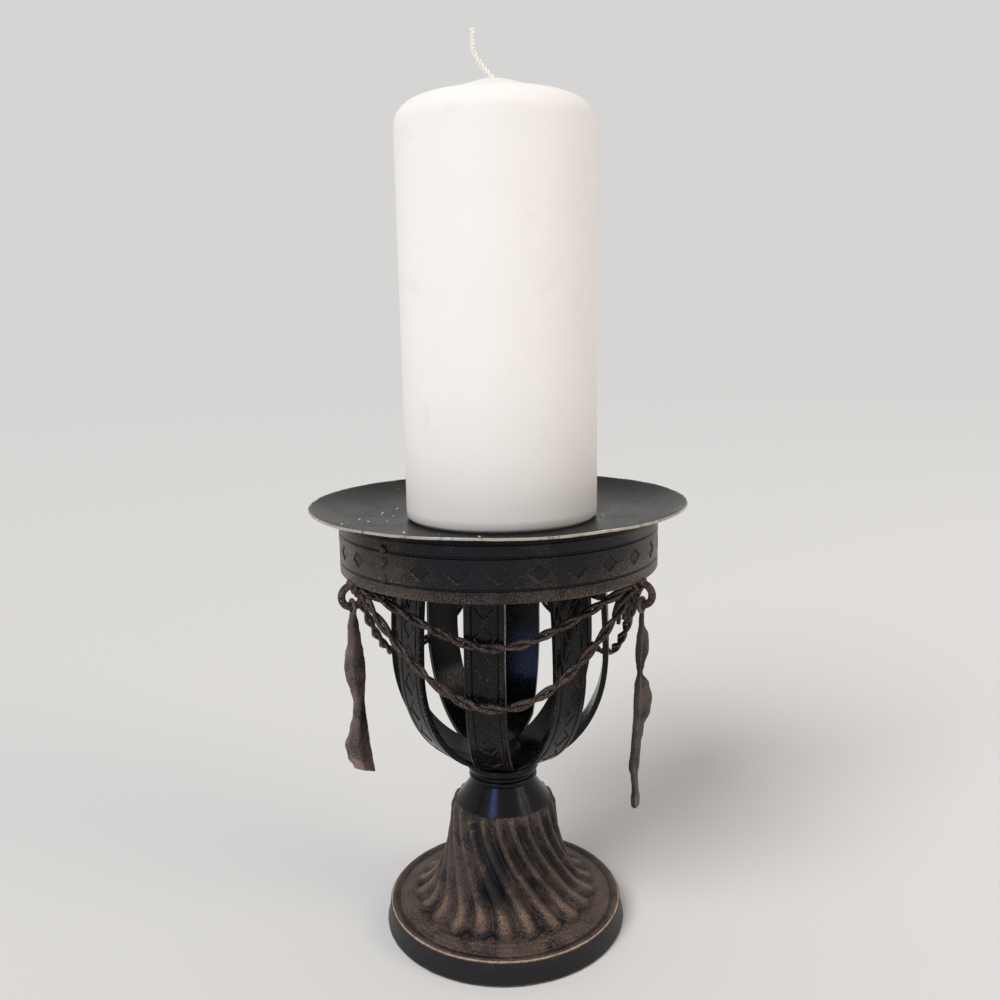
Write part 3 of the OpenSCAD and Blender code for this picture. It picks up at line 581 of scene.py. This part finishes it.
floor_steps = [pan_floor_r * k / 12 for k in range(12)]
pan = turned([(r, pan_low.z) for r in floor_steps] + flank(pan_t, 24) + flank(0, 24)[::-1]
             + [(r, pan_floor_z) for r in floor_steps[::-1]], steps=320)
round_edges(pan, math.radians(60), width=0.3 * MM, segments=2)
for v in pan.verts:
    beyond = smooth_step(hoop_r + 3 * MM, pan_r, v.co.xy.length)
    v.co.z += pan_wave * beyond * noise.fractal(v.co / (30 * MM), 0.8, 2.0, 2)
mark_wear_and_light(pan, lambda co: smooth_step(pan_r - pan_edge_w, pan_r - hair, co.xy.length)
            + 0.45 * noise.noise(co / (4 * MM)) - 0.2)

# dull olive-black lacquer on sheet, with fine turning marks, smears and a bare edge
olive_lacquer, tree, shader, place = plain_finish("dulled_pan_lacquer")
radius = add(tree, "VectorMath", {0: place, 1: (1, 1, 0)}, operation="MULTIPLY")
radius = add(tree, "VectorMath", {0: radius}, "Value", operation="LENGTH")
marks = add(tree, "TexNoise", {"W": radius, "Scale": 1 / (1.4 * MM), "Detail": 4.0,
                               "Roughness": 0.8}, noise_dimensions="1D")
smears = add(tree, "TexNoise", {"Vector": place, "Scale": 1 / (34 * MM), "Detail": 6.0,
                                "Distortion": 1.2})
dust = add(tree, "TexNoise", {"Vector": place, "Scale": 1 / (1.5 * MM), "Detail": 2.0})
specks = add(tree, "MapRange", {"Value": dust, "From Min": 0.68, "From Max": 0.74})
wear_and_light = add(tree, "Attribute", {}, "Fac", attribute_name="wear_and_painted_light")
broken = add(tree, "Math", {0: dust, 1: 0.9, 2: wear_and_light}, operation="MULTIPLY_ADD")
bare = add(tree, "MapRange", {"Value": broken, "From Min": 0.85, "From Max": 1.2})
colour = linear("#0f0f0e")
for share, tone in ((smears, "#1f1d19"), (specks, "#6b675c"), (bare, "#bab3a6")):
    colour = add(tree, "Mix", {0: share, 6: colour, 7: linear(tone)}, 2, data_type="RGBA")
uneven = add(tree, "Math", {0: marks, 1: 0.12, 2: smears}, operation="MULTIPLY_ADD")
rough = add(tree, "MapRange", {"Value": uneven, "From Min": 0.3, "From Max": 0.9,
                               "To Min": 0.16, "To Max": 0.36})
metallic = add(tree, "Math", {0: bare, 1: 0.5}, operation="MULTIPLY")
bump = add(tree, "Bump", {"Height": marks, "Strength": 0.5, "Distance": 0.05 * MM})
feed(tree, shader, {"Base Color": colour, "Specular IOR Level": 0.1, "Roughness": rough,
                    "Metallic": metallic, "Normal": bump})
piece(pan, "pressed_drip_pan", olive_lacquer, "stand", ["drip_pan"])

# ---- Hanging rings and welds ----
# Three closed rings of 3.8 mm wire stand in the radial plane under the hoop. A lump of
# weld joins each to the band, and three more lumps close the seam of the hoop.

ring_r, ring_wire_r, weld_sunk = 5.4 * MM, 1.9 * MM, 0.4 * MM
ring_az = {"left": -62.5, "right": 57.5, "rear": 177.5}
ring_centre = {name: sum(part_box(f"ring_{name}"), Vector()) / 2 for name in ring_az}
forged_wire = rubbed_lacquer("rubbed_wire_lacquer", "#120f0e", "#45372f", "#94786a",
                             grain_mm=0.6, patch_mm=12, cover=0.5, gloss=0.3, relief_mm=0.06,
                             metal=0.35)


def tube(path, radius, side, sides, steps, closed=False):
    """A skin round a path. side is a direction that the path never runs along, and
    radius(v, angle) gives the skin's radius with how far it is rubbed there."""
    frames = []
    for j in range(steps + 1):
        v = j / steps
        a, b = (v - 1e-3, v + 1e-3) if closed else (max(0, v - 1e-3), min(1, v + 1e-3))
        along = (path(b) - path(a)).normalized()
        first = side.cross(along).normalized()
        frames.append((path(v), first, along.cross(first)))

    def place(i, j):
        i, j = i % sides, j % steps if closed else j
        centre, first, second = frames[j]
        angle = 2 * math.pi * i / sides
        size, shine = radius(j / steps, angle)
        return centre + size * (math.cos(angle) * first + math.sin(angle) * second), shine
    return shaped_grid(sides, steps, place)


def join(into, bm):
    """Adds one mesh to another, with its marks."""
    mesh = bpy.data.meshes.new("part")
    bm.to_mesh(mesh)
    bm.free()
    into.from_mesh(mesh)
    bpy.data.meshes.remove(mesh)


def worn_wire(size, seed, shine=0.3, lump=0.06):
    """Radius of a drawn wire that is dented and rubbed here and there."""
    def radius(v, angle):
        spot = Vector((math.cos(angle), math.sin(angle), 40 * v + seed))
        dent = noise.noise(spot * 0.8)
        return size * (1 + lump * dent), shine + 0.45 * noise.noise(spot * 1.7 + UP * 9)
    return radius


def spoke(name, angle):
    """The way from a ring's centre to its wire, at an angle from its outer side upwards."""
    return math.cos(angle) * polar(1, ring_az[name], 0) + math.sin(angle) * UP


def sideways(name):
    """The way that a ring's axis points, along the hoop."""
    return polar(1, ring_az[name] + 90, 0)


for number, name in enumerate(ring_az):
    ring = tube(lambda v: ring_centre[name] + ring_r * spoke(name, 2 * math.pi * v),
                worn_wire(ring_wire_r, 3.1 * number), sideways(name), 16, 48, closed=True)
    piece(ring, f"wire_ring_{name}", forged_wire, "stand", [f"ring_{name}"])


def weld_lump(bm, centre, radius, height, seed):
    """One lumpy bead of weld."""
    for v in bmesh.ops.create_icosphere(bm, subdivisions=3, radius=1)["verts"]:
        swell = 1 + 0.22 * noise.fractal(v.co * 1.3 + Vector((seed, 0, seed)), 0.7, 2.2, 3)
        v.co = centre + Vector((v.co.x * radius, v.co.y * radius, v.co.z * height)) * swell


beads = bmesh.new()
for number, (x, y, z) in enumerate(ring_centre.values()):
    weld_lump(beads, Vector((x, y, hoop_low.z - weld_sunk)), 2.5 * MM, 1.9 * MM, number * 7.7)
mark_wear_and_light(beads, lambda co: 0.45)
piece(beads, "ring_weld_lumps", forged_wire, "stand", ["ring_welds"])

seam_beads = bmesh.new()
for number, height in enumerate((hoop_line_inset + 2 * MM, hoop_h / 2 + 2.5 * MM,
                                 hoop_h - hoop_line_inset + 1 * MM)):
    weld_lump(seam_beads, polar(hoop_r - weld_sunk, seam_az, hoop_low.z + height), 2 * MM, 2 * MM,
              3.3 + number * 4.1)
mark_wear_and_light(seam_beads, lambda co: 0.25)
piece(seam_beads, "hoop_seam_lumps", patina_lacquer, "stand", ["hoop_seam_welds"])

# ---- Knots and swags ----
# Two swags of twisted wire run from ring to ring round the bowl, a short taut one and a
# long slack one. Each is two 2.4 mm wires with a turn every 27 mm. Their ends are wound
# round the rings, and the cut ends of the tying wire stick out of the knots.

strand_r = 1.2 * MM
knot_angle = math.radians(135)
kiss = 0.05 * MM
coil_r = ring_wire_r + strand_r + kiss
strand_pitch = 27 * MM
upper_sag, lower_sag, end_step = 25 * MM, 53 * MM, 2.7 * MM
knot_r = ring_centre["left"].xy.length + ring_r * math.cos(knot_angle)
knot_z = ring_centre["left"].z + ring_r * math.sin(knot_angle)
wrap_r = math.hypot(belly_r, strap_w / 2) + 2 * strand_r + 4 * kiss
swag_steps, taut_bend = 160, 0.4


def rounded_slope(x, bend):
    """Rises from 0 in the middle to 1 at the end. Its bend is a share of that way."""
    return (math.hypot(x, bend) - bend) / (math.hypot(1, bend) - bend)


def swag_line(middle_az, play, end_z, sag, slack):
    """Centre line of a swag, from -1 to 1: an arc round the straps and then straight ends.
    A slack one hangs in a parabola, and a taut one is bent round the bowl in the middle."""
    turn = Matrix.Rotation(math.radians(middle_az), 3, "Z")
    end_az = math.pi / 3 - math.asin((coil_r + strand_r + play) / knot_r)
    tangent_az = end_az - math.acos(wrap_r / knot_r)
    swag_arc = wrap_r * tangent_az
    half_len = swag_arc + knot_r * math.sin(end_az - tangent_az)

    def line(w):
        s, side = abs(w) * half_len, -1 if w < 0 else 1
        azimuth = min(s, swag_arc) / wrap_r
        past = max(0, s - swag_arc)
        drop = sag * (1 - slack * w * w - (1 - slack) * rounded_slope(w, taut_bend))
        return turn @ Vector((side * (wrap_r * math.sin(azimuth) + past * math.cos(azimuth)),
                              past * math.sin(azimuth) - wrap_r * math.cos(azimuth),
                              end_z - drop))
    return line


def swag_strands(line, name, node, seed):
    """Two wires wound round a centre line, as one piece."""
    lengths = lengths_along([line(2 * k / swag_steps - 1) for k in range(swag_steps + 1)])
    half_turns = round(2 * lengths[-1] / strand_pitch)

    def wound(start):
        def path(v):
            k = min(swag_steps - 1, int(v * swag_steps))
            s = lengths[k] + (lengths[k + 1] - lengths[k]) * (v * swag_steps - k)
            w = 2 * v - 1
            along = (line(min(1, w + 0.005)) - line(max(-1, w - 0.005))).normalized()
            out = UP.cross(along).normalized()
            uneven = 0.7 * (1 - w * w) * noise.noise(Vector((26 * v, seed, 0)))
            wind = start + math.pi * half_turns * s / lengths[-1] + uneven
            return line(w) + (strand_r + kiss) * (math.cos(wind) * out
                                                  + math.sin(wind) * along.cross(out))
        return path

    strands = bmesh.new()
    for start in (0, math.pi):
        wire = worn_wire(strand_r, seed + start, 0.26, 0.04)
        join(strands, tube(wound(start), wire, UP, 14, 300))
    piece(strands, name, forged_wire, "stand", [node])


upper_z = knot_z + strand_r / 2
for number, place_name in enumerate(("front", "right", "left")):
    middle = ring_az["left"] + 60 + 120 * number
    swag_strands(swag_line(middle, 0.8 * strand_r, upper_z, upper_sag, 0),
                 f"taut_swag_{place_name}", f"swag_upper_{place_name}", 11.0 + number)
    swag_strands(swag_line(middle, -0.5 * strand_r, upper_z - end_step, lower_sag, 1),
                 f"slack_swag_{place_name}", f"swag_lower_{place_name}", 17.0 + number)


def knot_path(name):
    """The tying wire, wound twice and a half round a ring."""
    def path(v):
        way = spoke(name, knot_angle + (v - 0.5) * knot_pitch * knot_turns / ring_r)
        wind = 2 * math.pi * knot_turns * v
        return (ring_centre[name] + ring_r * way
                + coil_r * (math.cos(wind) * way + math.sin(wind) * sideways(name)))
    return path


def wire_end(name, reach_out, reach_side, fall, bow):
    """A cut end of the tying wire: it leaves the knot and bends down. Its sizes are in mm."""
    def path(v):
        return (ring_centre[name] + ring_r * spoke(name, knot_angle)
                + spoke(name, 0) * reach_out * MM * math.sin(v * math.pi / 2)
                + sideways(name) * (reach_side * v + bow * math.sin(v * math.pi)) * MM
                - UP * fall * MM * v ** 1.6)
    return path


knot_turns, knot_pitch = 2.5, 2.3 * strand_r
# each end: its reach out, its reach sideways, its fall and its bow, in mm
wire_ends = {"left": [(-4, -5, 8, 1.5), (-5, 4, 11, -1)],
             "right": [(-4, -4, 17, 1.5), (-6, -6, 19, 1), (-8, -3, 18, -1.5), (-3, -2, 16, 1),
                       (-9, -5, 16, 1)],
             "rear": [(-4, 5, 10, 1.5), (-5, -4, 8, -1)]}
for number, name in enumerate(ring_az):
    knot = tube(knot_path(name), worn_wire(strand_r, 23.0 + number, 0.3),
                spoke(name, knot_angle + math.pi / 2), 14, 130)
    for count, ends in enumerate(wire_ends[name]):
        join(knot, tube(wire_end(name, *ends), worn_wire(0.85 * strand_r, 41.0 + count, 0.25, 0.1),
                        Vector((0.3, 0.9, 0.3)), 12, 24))
    piece(knot, f"wire_knot_{name}", forged_wire, "stand", [f"knot_{name}"])

# ---- Forged drops ----
# A ribbon of iron hangs from each ring by a bent eye. The short ones are hammered to a
# pointed oval and a flared tail with a crease down the middle, and the long one on the
# right is twisted into two leaves and drawn out to a blob. They swing on their rings.
# One half beside each crease is painted lighter and the other darker as light and shade,
# and a painted highlight runs along the crease.

eye_wire_r = 1.0 * MM
eye_r = ring_wire_r + 0.5 * MM + eye_wire_r
drop_t = 2.4 * MM

# forged ribbon: the lacquer has worn thin on the hammered faces, which look pinkish grey; its film
# and metal tones also carry the drops' painted light and shade
hammered_iron = rubbed_lacquer("hammered_iron", "#141112", "#564a45", "#9d877c", grain_mm=0.5,
                               patch_mm=14, cover=0.72, gloss=0.32, relief_mm=0.12, metal=0.35)

# each station: share of the length, width in mm, turn of the width from the radius in
# degrees, depth of the crease as a share of the width, slope of the end, and how far the
# middle lies inwards, in mm
short_stations = [(0, 3.6, 0, 0, 0, 0), (0.08, 6.0, 2, 0.1, 0, 0), (0.17, 7.0, 5, 0.2, 0, 0.3),
                  (0.25, 9.6, 8, 0.3, 0, 0), (0.33, 10.9, 9, 0.34, 0, 0),
                  (0.4, 10.2, 10, 0.32, 0, 0.3), (0.47, 7.8, 8, 0.26, 0, 0.9),
                  (0.55, 6.0, 4, 0.24, 0, 1.3), (0.63, 7.2, 0, 0.3, 0.02, 1.3),
                  (0.72, 10.4, -3, 0.36, 0.06, 0.9), (0.82, 14.6, -6, 0.36, 0.15, 0.2),
                  (0.91, 14.8, -8, 0.28, 0.3, 1.2), (1, 12.4, -8, 0.16, 0.46, 2.9)]
long_stations = [(0, 3.4, 90, 0, 0, 0), (0.06, 3.8, 100, -0.06, 0, 0),
                 (0.12, 8.0, 110, -0.16, 0, -0.2), (0.19, 8.4, 114, -0.18, 0, 0),
                 (0.27, 4.6, 122, -0.1, 0, 0.6), (0.3, 2.8, 128, -0.04, 0, 0.8),
                 (0.36, 9.0, 116, -0.18, 0, 0), (0.43, 11.8, 113, -0.22, 0, -0.3),
                 (0.5, 11.0, 111, -0.24, 0, 0.2), (0.58, 8.0, 108, -0.18, 0, 1.9),
                 (0.68, 7.0, 106, -0.16, 0, 3.0), (0.78, 7.8, 106, -0.14, 0, 3.9),
                 (0.83, 4.8, 106, -0.1, 0, 3.5), (0.89, 4.4, 112, -0.04, 0, 3.0),
                 (0.95, 5.8, 118, 0, 0, 2.8), (0.98, 5.2, 118, 0, 0, 2.8),
                 (1, 2.2, 118, 0, 0, 2.8)]
ridge_at = -0.25             # the crease runs beside the middle of the ribbon
burr_depth, hammer_depth, ragged_depth = 0.5 * MM, 0.2 * MM, 1.2 * MM


def station(table, share):
    """The sizes of a ribbon at a share of its length, eased between its stations."""
    for low, high in zip(table, table[1:]):
        if share <= high[0]:
            t = smooth_step(low[0], high[0], share)
            return [a + (b - a) * t for a, b in zip(low, high)][1:]
    return table[-1][1:]


def ribbon(table, length, seed, facet_light):
    """A hammered ribbon that hangs from the origin, with its width along Y at turn 0. The last
    argument paints light and shade on each half beside the crease, one lighter and one darker.
    The edges have burrs and the end is torn."""
    steps, sides = 120, 28
    drift = UP * seed

    def place(i, j):
        share = j / steps
        width, turn, crease, slope, shift = station(table, share)
        width *= MM
        turn = math.radians(turn)
        angle = 2 * math.pi * (i % sides) / sides
        beside = math.cos(angle) - ridge_at
        x, y = width / 2 * math.cos(angle), drop_t / 2 * math.sin(angle)
        end = math.sqrt(max(0.04, 1 - max(0, (share - 0.985) / 0.015) ** 2))
        y *= end * (0.95 - 0.35 * abs(math.cos(angle)) ** 3)
        y += crease * width * (0.5 - abs(beside)) * 0.7
        spot = Vector((x, y * 2, share * length))
        hammer = hammer_depth * noise.fractal(spot / (5 * MM) + drift, 0.8, 2.0, 3)
        y += hammer * (1 if math.sin(angle) > 0 else -1)
        y += 0.3 * MM * crease * math.sin(9 * math.cos(angle))
        burr = burr_depth * max(0, noise.noise(spot / (2.6 * MM) + drift) - 0.25)
        x += burr * (1 if x > 0 else -1)
        # the edges carry wear, and a painted highlight runs along the crease
        shine = 0.25 * abs(math.cos(angle)) ** 6 + 0.3 * max(0, 1 - abs(beside) / 0.15)
        # painted light and shade: one half beside the crease is marked lighter and the other
        # darker; the tip is marked lighter
        shine += facet_light[0 if beside < 0 else 1] + 0.4 * smooth_step(0.9, 0.95, share)
        shine += 0.3 * noise.noise(Vector((x * 3, y, share * length)) / (8 * MM) + drift)
        ragged = ragged_depth * abs(noise.noise(UP * (x / (2.5 * MM) + seed)))
        return Vector((x * math.sin(turn) + y * math.cos(turn),
                       x * math.cos(turn) - y * math.sin(turn) + shift * MM,
                       ragged * smooth_step(0.93, 1, share) - eye_r - share * length
                       - slope * x)), shine
    return shaped_grid(sides, steps, place)


for number, name in enumerate(ring_az):
    joint = next(j for j in frame["joints"] if j["child"] == f"{name}_drop")
    hinge = Vector(joint["pos_m"])
    # painted light and shade on the two halves beside each crease, lighter on one and darker on
    # the other
    table, facet_light = short_stations, (0.3, -0.1)
    if name == "right":
        table, facet_light = long_stations, (-0.8, -0.05)
    slope_drop = table[-1][4] * table[-1][1] / 2 * MM
    length = hinge.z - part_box(f"drop_{name}")[0].z - eye_r - slope_drop
    drop = ribbon(table, length, 5.0 * number, facet_light)
    join(drop, tube(lambda v: Matrix.Rotation(-2 * math.pi * v, 3, "Y") @ Vector((eye_r, 0, 0)),
                    worn_wire(eye_wire_r, 31.0 + number, 0.25), Vector((0, 1, 0)), 12, 40,
                    closed=True))
    hung = Matrix.Translation(hinge) @ Matrix.Rotation(math.radians(ring_az[name]), 4, "Z")
    bmesh.ops.transform(drop, verts=drop.verts, matrix=hung)
    piece(drop, f"forged_drop_{name}", hammered_iron, f"{name}_drop",
          [f"drop_{name}"])

# ---- Candle ----
# A moulded pillar of off-white paraffin, 100 mm across and twice as high, with a bevelled
# foot, a rounded shoulder and a low cone. Handling has left faint smudges and dents.

candle_centre = Vector(((candle_low.x + candle_high.x) / 2, 0, 0))
candle_r = (candle_high.x - candle_low.x) / 2
candle_bevel, shoulder_r, shoulder_end, cone_h = 2 * MM, 12 * MM, 72, 12.1 * MM
cone_round = 0.16    # how far the peak is rounded, as a share of the cone's radius
side_steps, cone_levels = 48, 24
side_low_z = candle_low.z + candle_bevel
side_top_z = candle_high.z - cone_h - shoulder_r * math.sin(math.radians(shoulder_end))
side = [(candle_r, side_low_z + (side_top_z - side_low_z) * k / side_steps)
        for k in range(side_steps)]
shoulder = arc((candle_r - shoulder_r, side_top_z), shoulder_r, 0, shoulder_end, 12)
last_r, last_z = shoulder[-1]
top = []
for k in range(1, cone_levels + 1):
    share = 1 - k / cone_levels
    rise = (1 - rounded_slope(share, cone_round)) ** 1.2
    top.append((last_r * share, last_z + (candle_high.z - last_z) * rise))
candle = turned([(0, candle_low.z), (candle_r / 2, candle_low.z),
                 (candle_r - candle_bevel, candle_low.z)] + side + shoulder + top, steps=200)
for v in candle.verts:
    if candle_low.z + 1 * MM < v.co.z < candle_high.z - 1 * MM:
        dent = 0.18 * MM * noise.fractal(v.co / (30 * MM), 0.9, 2.0, 2)
        v.co += v.co.xy.to_3d().normalized() * dent
        wave = 0.3 * MM * noise.noise(v.co / (22 * MM))
        v.co.z += smooth_step(side_top_z, candle_high.z, v.co.z) * wave
bmesh.ops.translate(candle, verts=candle.verts, vec=candle_centre)

# moulded paraffin wax: light goes a few millimetres in, the skin is satin and faintly
# mottled, and old smudges are a little greyer
wax, tree, shader, place = plain_finish("moulded_paraffin_wax")
clouds = add(tree, "TexNoise", {"Vector": place, "Scale": 1 / (30 * MM), "Detail": 5.0,
                                "Distortion": 0.8})
fine = add(tree, "TexNoise", {"Vector": place, "Scale": 1 / (2 * MM), "Detail": 3.0})
smudge = add(tree, "MapRange", {"Value": clouds, "From Min": 0.6, "From Max": 0.85,
                                "To Max": 0.5}, interpolation_type="SMOOTHSTEP")
colour = add(tree, "Mix", {0: smudge, 6: linear("#faf5f1"), 7: linear("#ebe2de")}, 2,
             data_type="RGBA")
rough = add(tree, "MapRange", {"Value": fine, "To Min": 0.42, "To Max": 0.58})
bump = add(tree, "Bump", {"Height": fine, "Strength": 0.35, "Distance": 0.08 * MM})
feed(tree, shader, {"Base Color": colour, "Roughness": rough, "Normal": bump, "IOR": 1.44,
                    "Subsurface Weight": 0.35, "Subsurface Radius": (1.0, 0.8, 0.6),
                    "Subsurface Scale": 4 * MM})
piece(candle, "pillar_candle", wax, "candle", ["candle"], crease=50)

# crumbs and drips of the same wax, pressed on to the pan round the candle's foot
random.seed(12)
crumb_count = 34
crumbs = bmesh.new()
for number in range(crumb_count):
    azimuth = random.uniform(-180, 180)
    radius = random.triangular(candle_r + 2 * MM, pan_r - 3 * MM, candle_r + 6 * MM)
    size = random.uniform(0.25, 0.7) * MM
    over = max(0, radius - pan_floor_r)
    height = pan_floor_z + dish_r - math.sqrt(dish_r ** 2 - over ** 2)
    spot = polar(radius, azimuth, height + 0.15 * size)
    for v in bmesh.ops.create_icosphere(crumbs, subdivisions=1, radius=size)["verts"]:
        v.co = spot + Vector((v.co.x * random.uniform(0.8, 1.6), v.co.y * random.uniform(0.8, 1.4),
                              v.co.z * 0.5))
piece(crumbs, "wax_crumbs", wax, "stand")

# ---- Wick ----
# A cord of three cotton yarns, twisted and waxed, 2.4 mm thick. It leans to the left and
# straightens up towards its cut end.

wick_low, wick_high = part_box("wick")
wick_d, wick_sunk, wick_turns = 2.4 * MM, 0.6 * MM, 4.5
wick_h = wick_high.z - candle_high.z
wick_lean = candle_centre.x - (wick_low.x + wick_d / 2)
yarn_count, yarn_r = 3, 0.28 * wick_d
ACROSS = Vector((0, 1, 0))    # the wick leans at right angles to this


def wick_line(v):
    """Centre line of the wick."""
    lean = wick_lean * (1 - max(0, 1 - v / 0.62) ** 1.5)
    return candle_centre + Vector((-lean, 0, candle_high.z - wick_sunk + wick_h * v))


def yarn(start):
    """One yarn of the wick, wound round its centre line."""
    def path(v):
        along = (wick_line(v + 0.01) - wick_line(v - 0.01)).normalized()
        first = ACROSS.cross(along).normalized()
        wind = start + 2 * math.pi * wick_turns * v
        return wick_line(v) + 1.15 * yarn_r * (math.cos(wind) * first + math.sin(wind) * ACROSS)
    return path


def yarn_size(v, angle):
    """Radius of a yarn, ridged by its own fibres, and no rubbing."""
    return yarn_r * (1.02 + 0.12 * math.sin(3 * angle + 60 * v)), 0


wick = bmesh.new()
for number in range(yarn_count):
    join(wick, tube(yarn(2 * math.pi * number / yarn_count), yarn_size, ACROSS, 12, 90))

# bleached cotton yarn soaked in wax: fine fibres and a soft sheen
cotton, tree, shader, place = plain_finish("waxed_cotton")
fibre = add(tree, "TexNoise", {"Vector": place, "Scale": 1 / (0.5 * MM), "Detail": 3.0})
colour = add(tree, "Mix", {0: fibre, 6: linear("#ebe5da"), 7: linear("#faf7f1")}, 2,
             data_type="RGBA")
bump = add(tree, "Bump", {"Height": fibre, "Strength": 0.6, "Distance": 0.1 * MM})
feed(tree, shader, {"Base Color": colour, "Normal": bump, "Roughness": 0.7})
piece(wick, "twisted_wick", cotton, "candle", ["wick"])

# ---- Tie rod and its fittings ----
# An 8 mm rod, two nuts, a washer and a round plate clamp foot, neck and bowl together.
# They are plain steel parts with a black oxide, and keep the solids of the frame.

black_oxide = rubbed_lacquer("black_oxide_steel", "#202124", "#3a3532", "#6d6760",
                             grain_mm=0.8, patch_mm=8, cover=0.5, gloss=0.4, relief_mm=0.05)
for node in ("tie_rod", "foot_washer", "foot_nut", "hub_plate", "hub_nut"):
    fitting = frame["nodes"][node]
    fitting.data.materials.clear()
    fitting.data.materials.append(black_oxide)

# ---- Studio ----
# The stand is on an endless pale floor that meets a backdrop of its own tone. A broad soft
# key light comes from the upper left and a warm lamp from the right. Two cool panels on the
# left show only in the gloss. The camera has the photograph's height, tilt and view.

scene = bpy.context.scene
scene.view_settings.view_transform = "Standard"

# matt paper that the camera sees as white and that keeps the object's shadow
paper = bpy.data.materials.new("pale_paper")
paper.use_nodes = True
tree = paper.node_tree
feed(tree, tree.nodes["Principled BSDF"],
     {"Base Color": linear("#e6e5e4"), "Roughness": 0.9, "Specular IOR Level": 0.0})
sweep = bmesh.new()
bmesh.ops.create_grid(sweep, x_segments=2, y_segments=2, size=40)
shown(sweep, "paper_sweep", paper, crease=35)

world = bpy.data.worlds.new("studio")
scene.world = world
world.use_nodes = True
sky = world.node_tree
seen = 0.0
for ray in ("Is Camera Ray", "Is Transmission Ray", "Is Glossy Ray"):
    seen = add(sky, "Math", {0: seen, 1: add(sky, "LightPath", {}, ray)}, operation="MAXIMUM")
room_light, seen_light = 0.45, 0.716
strength = add(sky, "MapRange", {"Value": seen, "To Min": room_light, "To Max": seen_light})
feed(sky, sky.nodes["Background"], {"Color": linear("#f8f7f5"), "Strength": strength})


def light(kind, name, place, target, power, colour="#ffffff", **settings):
    """A light that hangs at a place and faces a target."""
    data = bpy.data.lights.new(name, kind)
    data.energy, data.color = power, linear(colour)[:3]
    for setting, value in settings.items():
        setattr(data, setting, value)
    hung = bpy.data.objects.new(name, data)
    hung.location = place
    hung.rotation_euler = (Vector(target) - Vector(place)).to_track_quat("-Z", "Y").to_euler()
    scene.collection.objects.link(hung)
    return hung


key = light("SUN", "key_light", (-0.5, -0.62, 0.8), (0, 0, 0), 1.9, angle=math.radians(32))
key.visible_glossy = False       # the lamps alone make the highlights
cool = light("AREA", "cool_panel", (-0.55, -1.1, 0.45), (0, 0, 0.2), 1.8, "#7898f4",
             shape="RECTANGLE", size=0.25, size_y=0.9)
top = light("AREA", "top_panel", (-0.37, -0.57, 0.7), (0, 0, 0.1), 2.4, "#7a9cf0",
            shape="RECTANGLE", size=0.2, size_y=0.4)
cool.visible_diffuse = top.visible_diffuse = False    # the panels show only in the gloss
light("AREA", "side_lamp", (2.4, -1.2, 1.7), (0, 0, 0.2), 18, "#fff1e6",
      shape="RECTANGLE", size=1.1, size_y=1.6)

lens_px, picture_px, sensor_mm = 950, 1000, 36
camera_data = bpy.data.cameras.new("camera")
camera_data.sensor_width = sensor_mm
camera_data.lens = lens_px / picture_px * sensor_mm
camera = bpy.data.objects.new("camera", camera_data)
camera_tilt, camera_roll, camera_yaw = 9.80, -1.06, -0.13
camera.matrix_world = (Matrix.Translation((0, -0.4936, 0.3223))
                       @ Matrix.Rotation(math.radians(camera_yaw), 4, "Z")
                       @ Matrix.Rotation(math.radians(90 - camera_tilt), 4, "X")
                       @ Matrix.Rotation(math.radians(camera_roll), 4, "Z"))
camera_data.clip_start, camera_data.clip_end = 0.01, 100
scene.collection.objects.link(camera)
scene.camera = camera
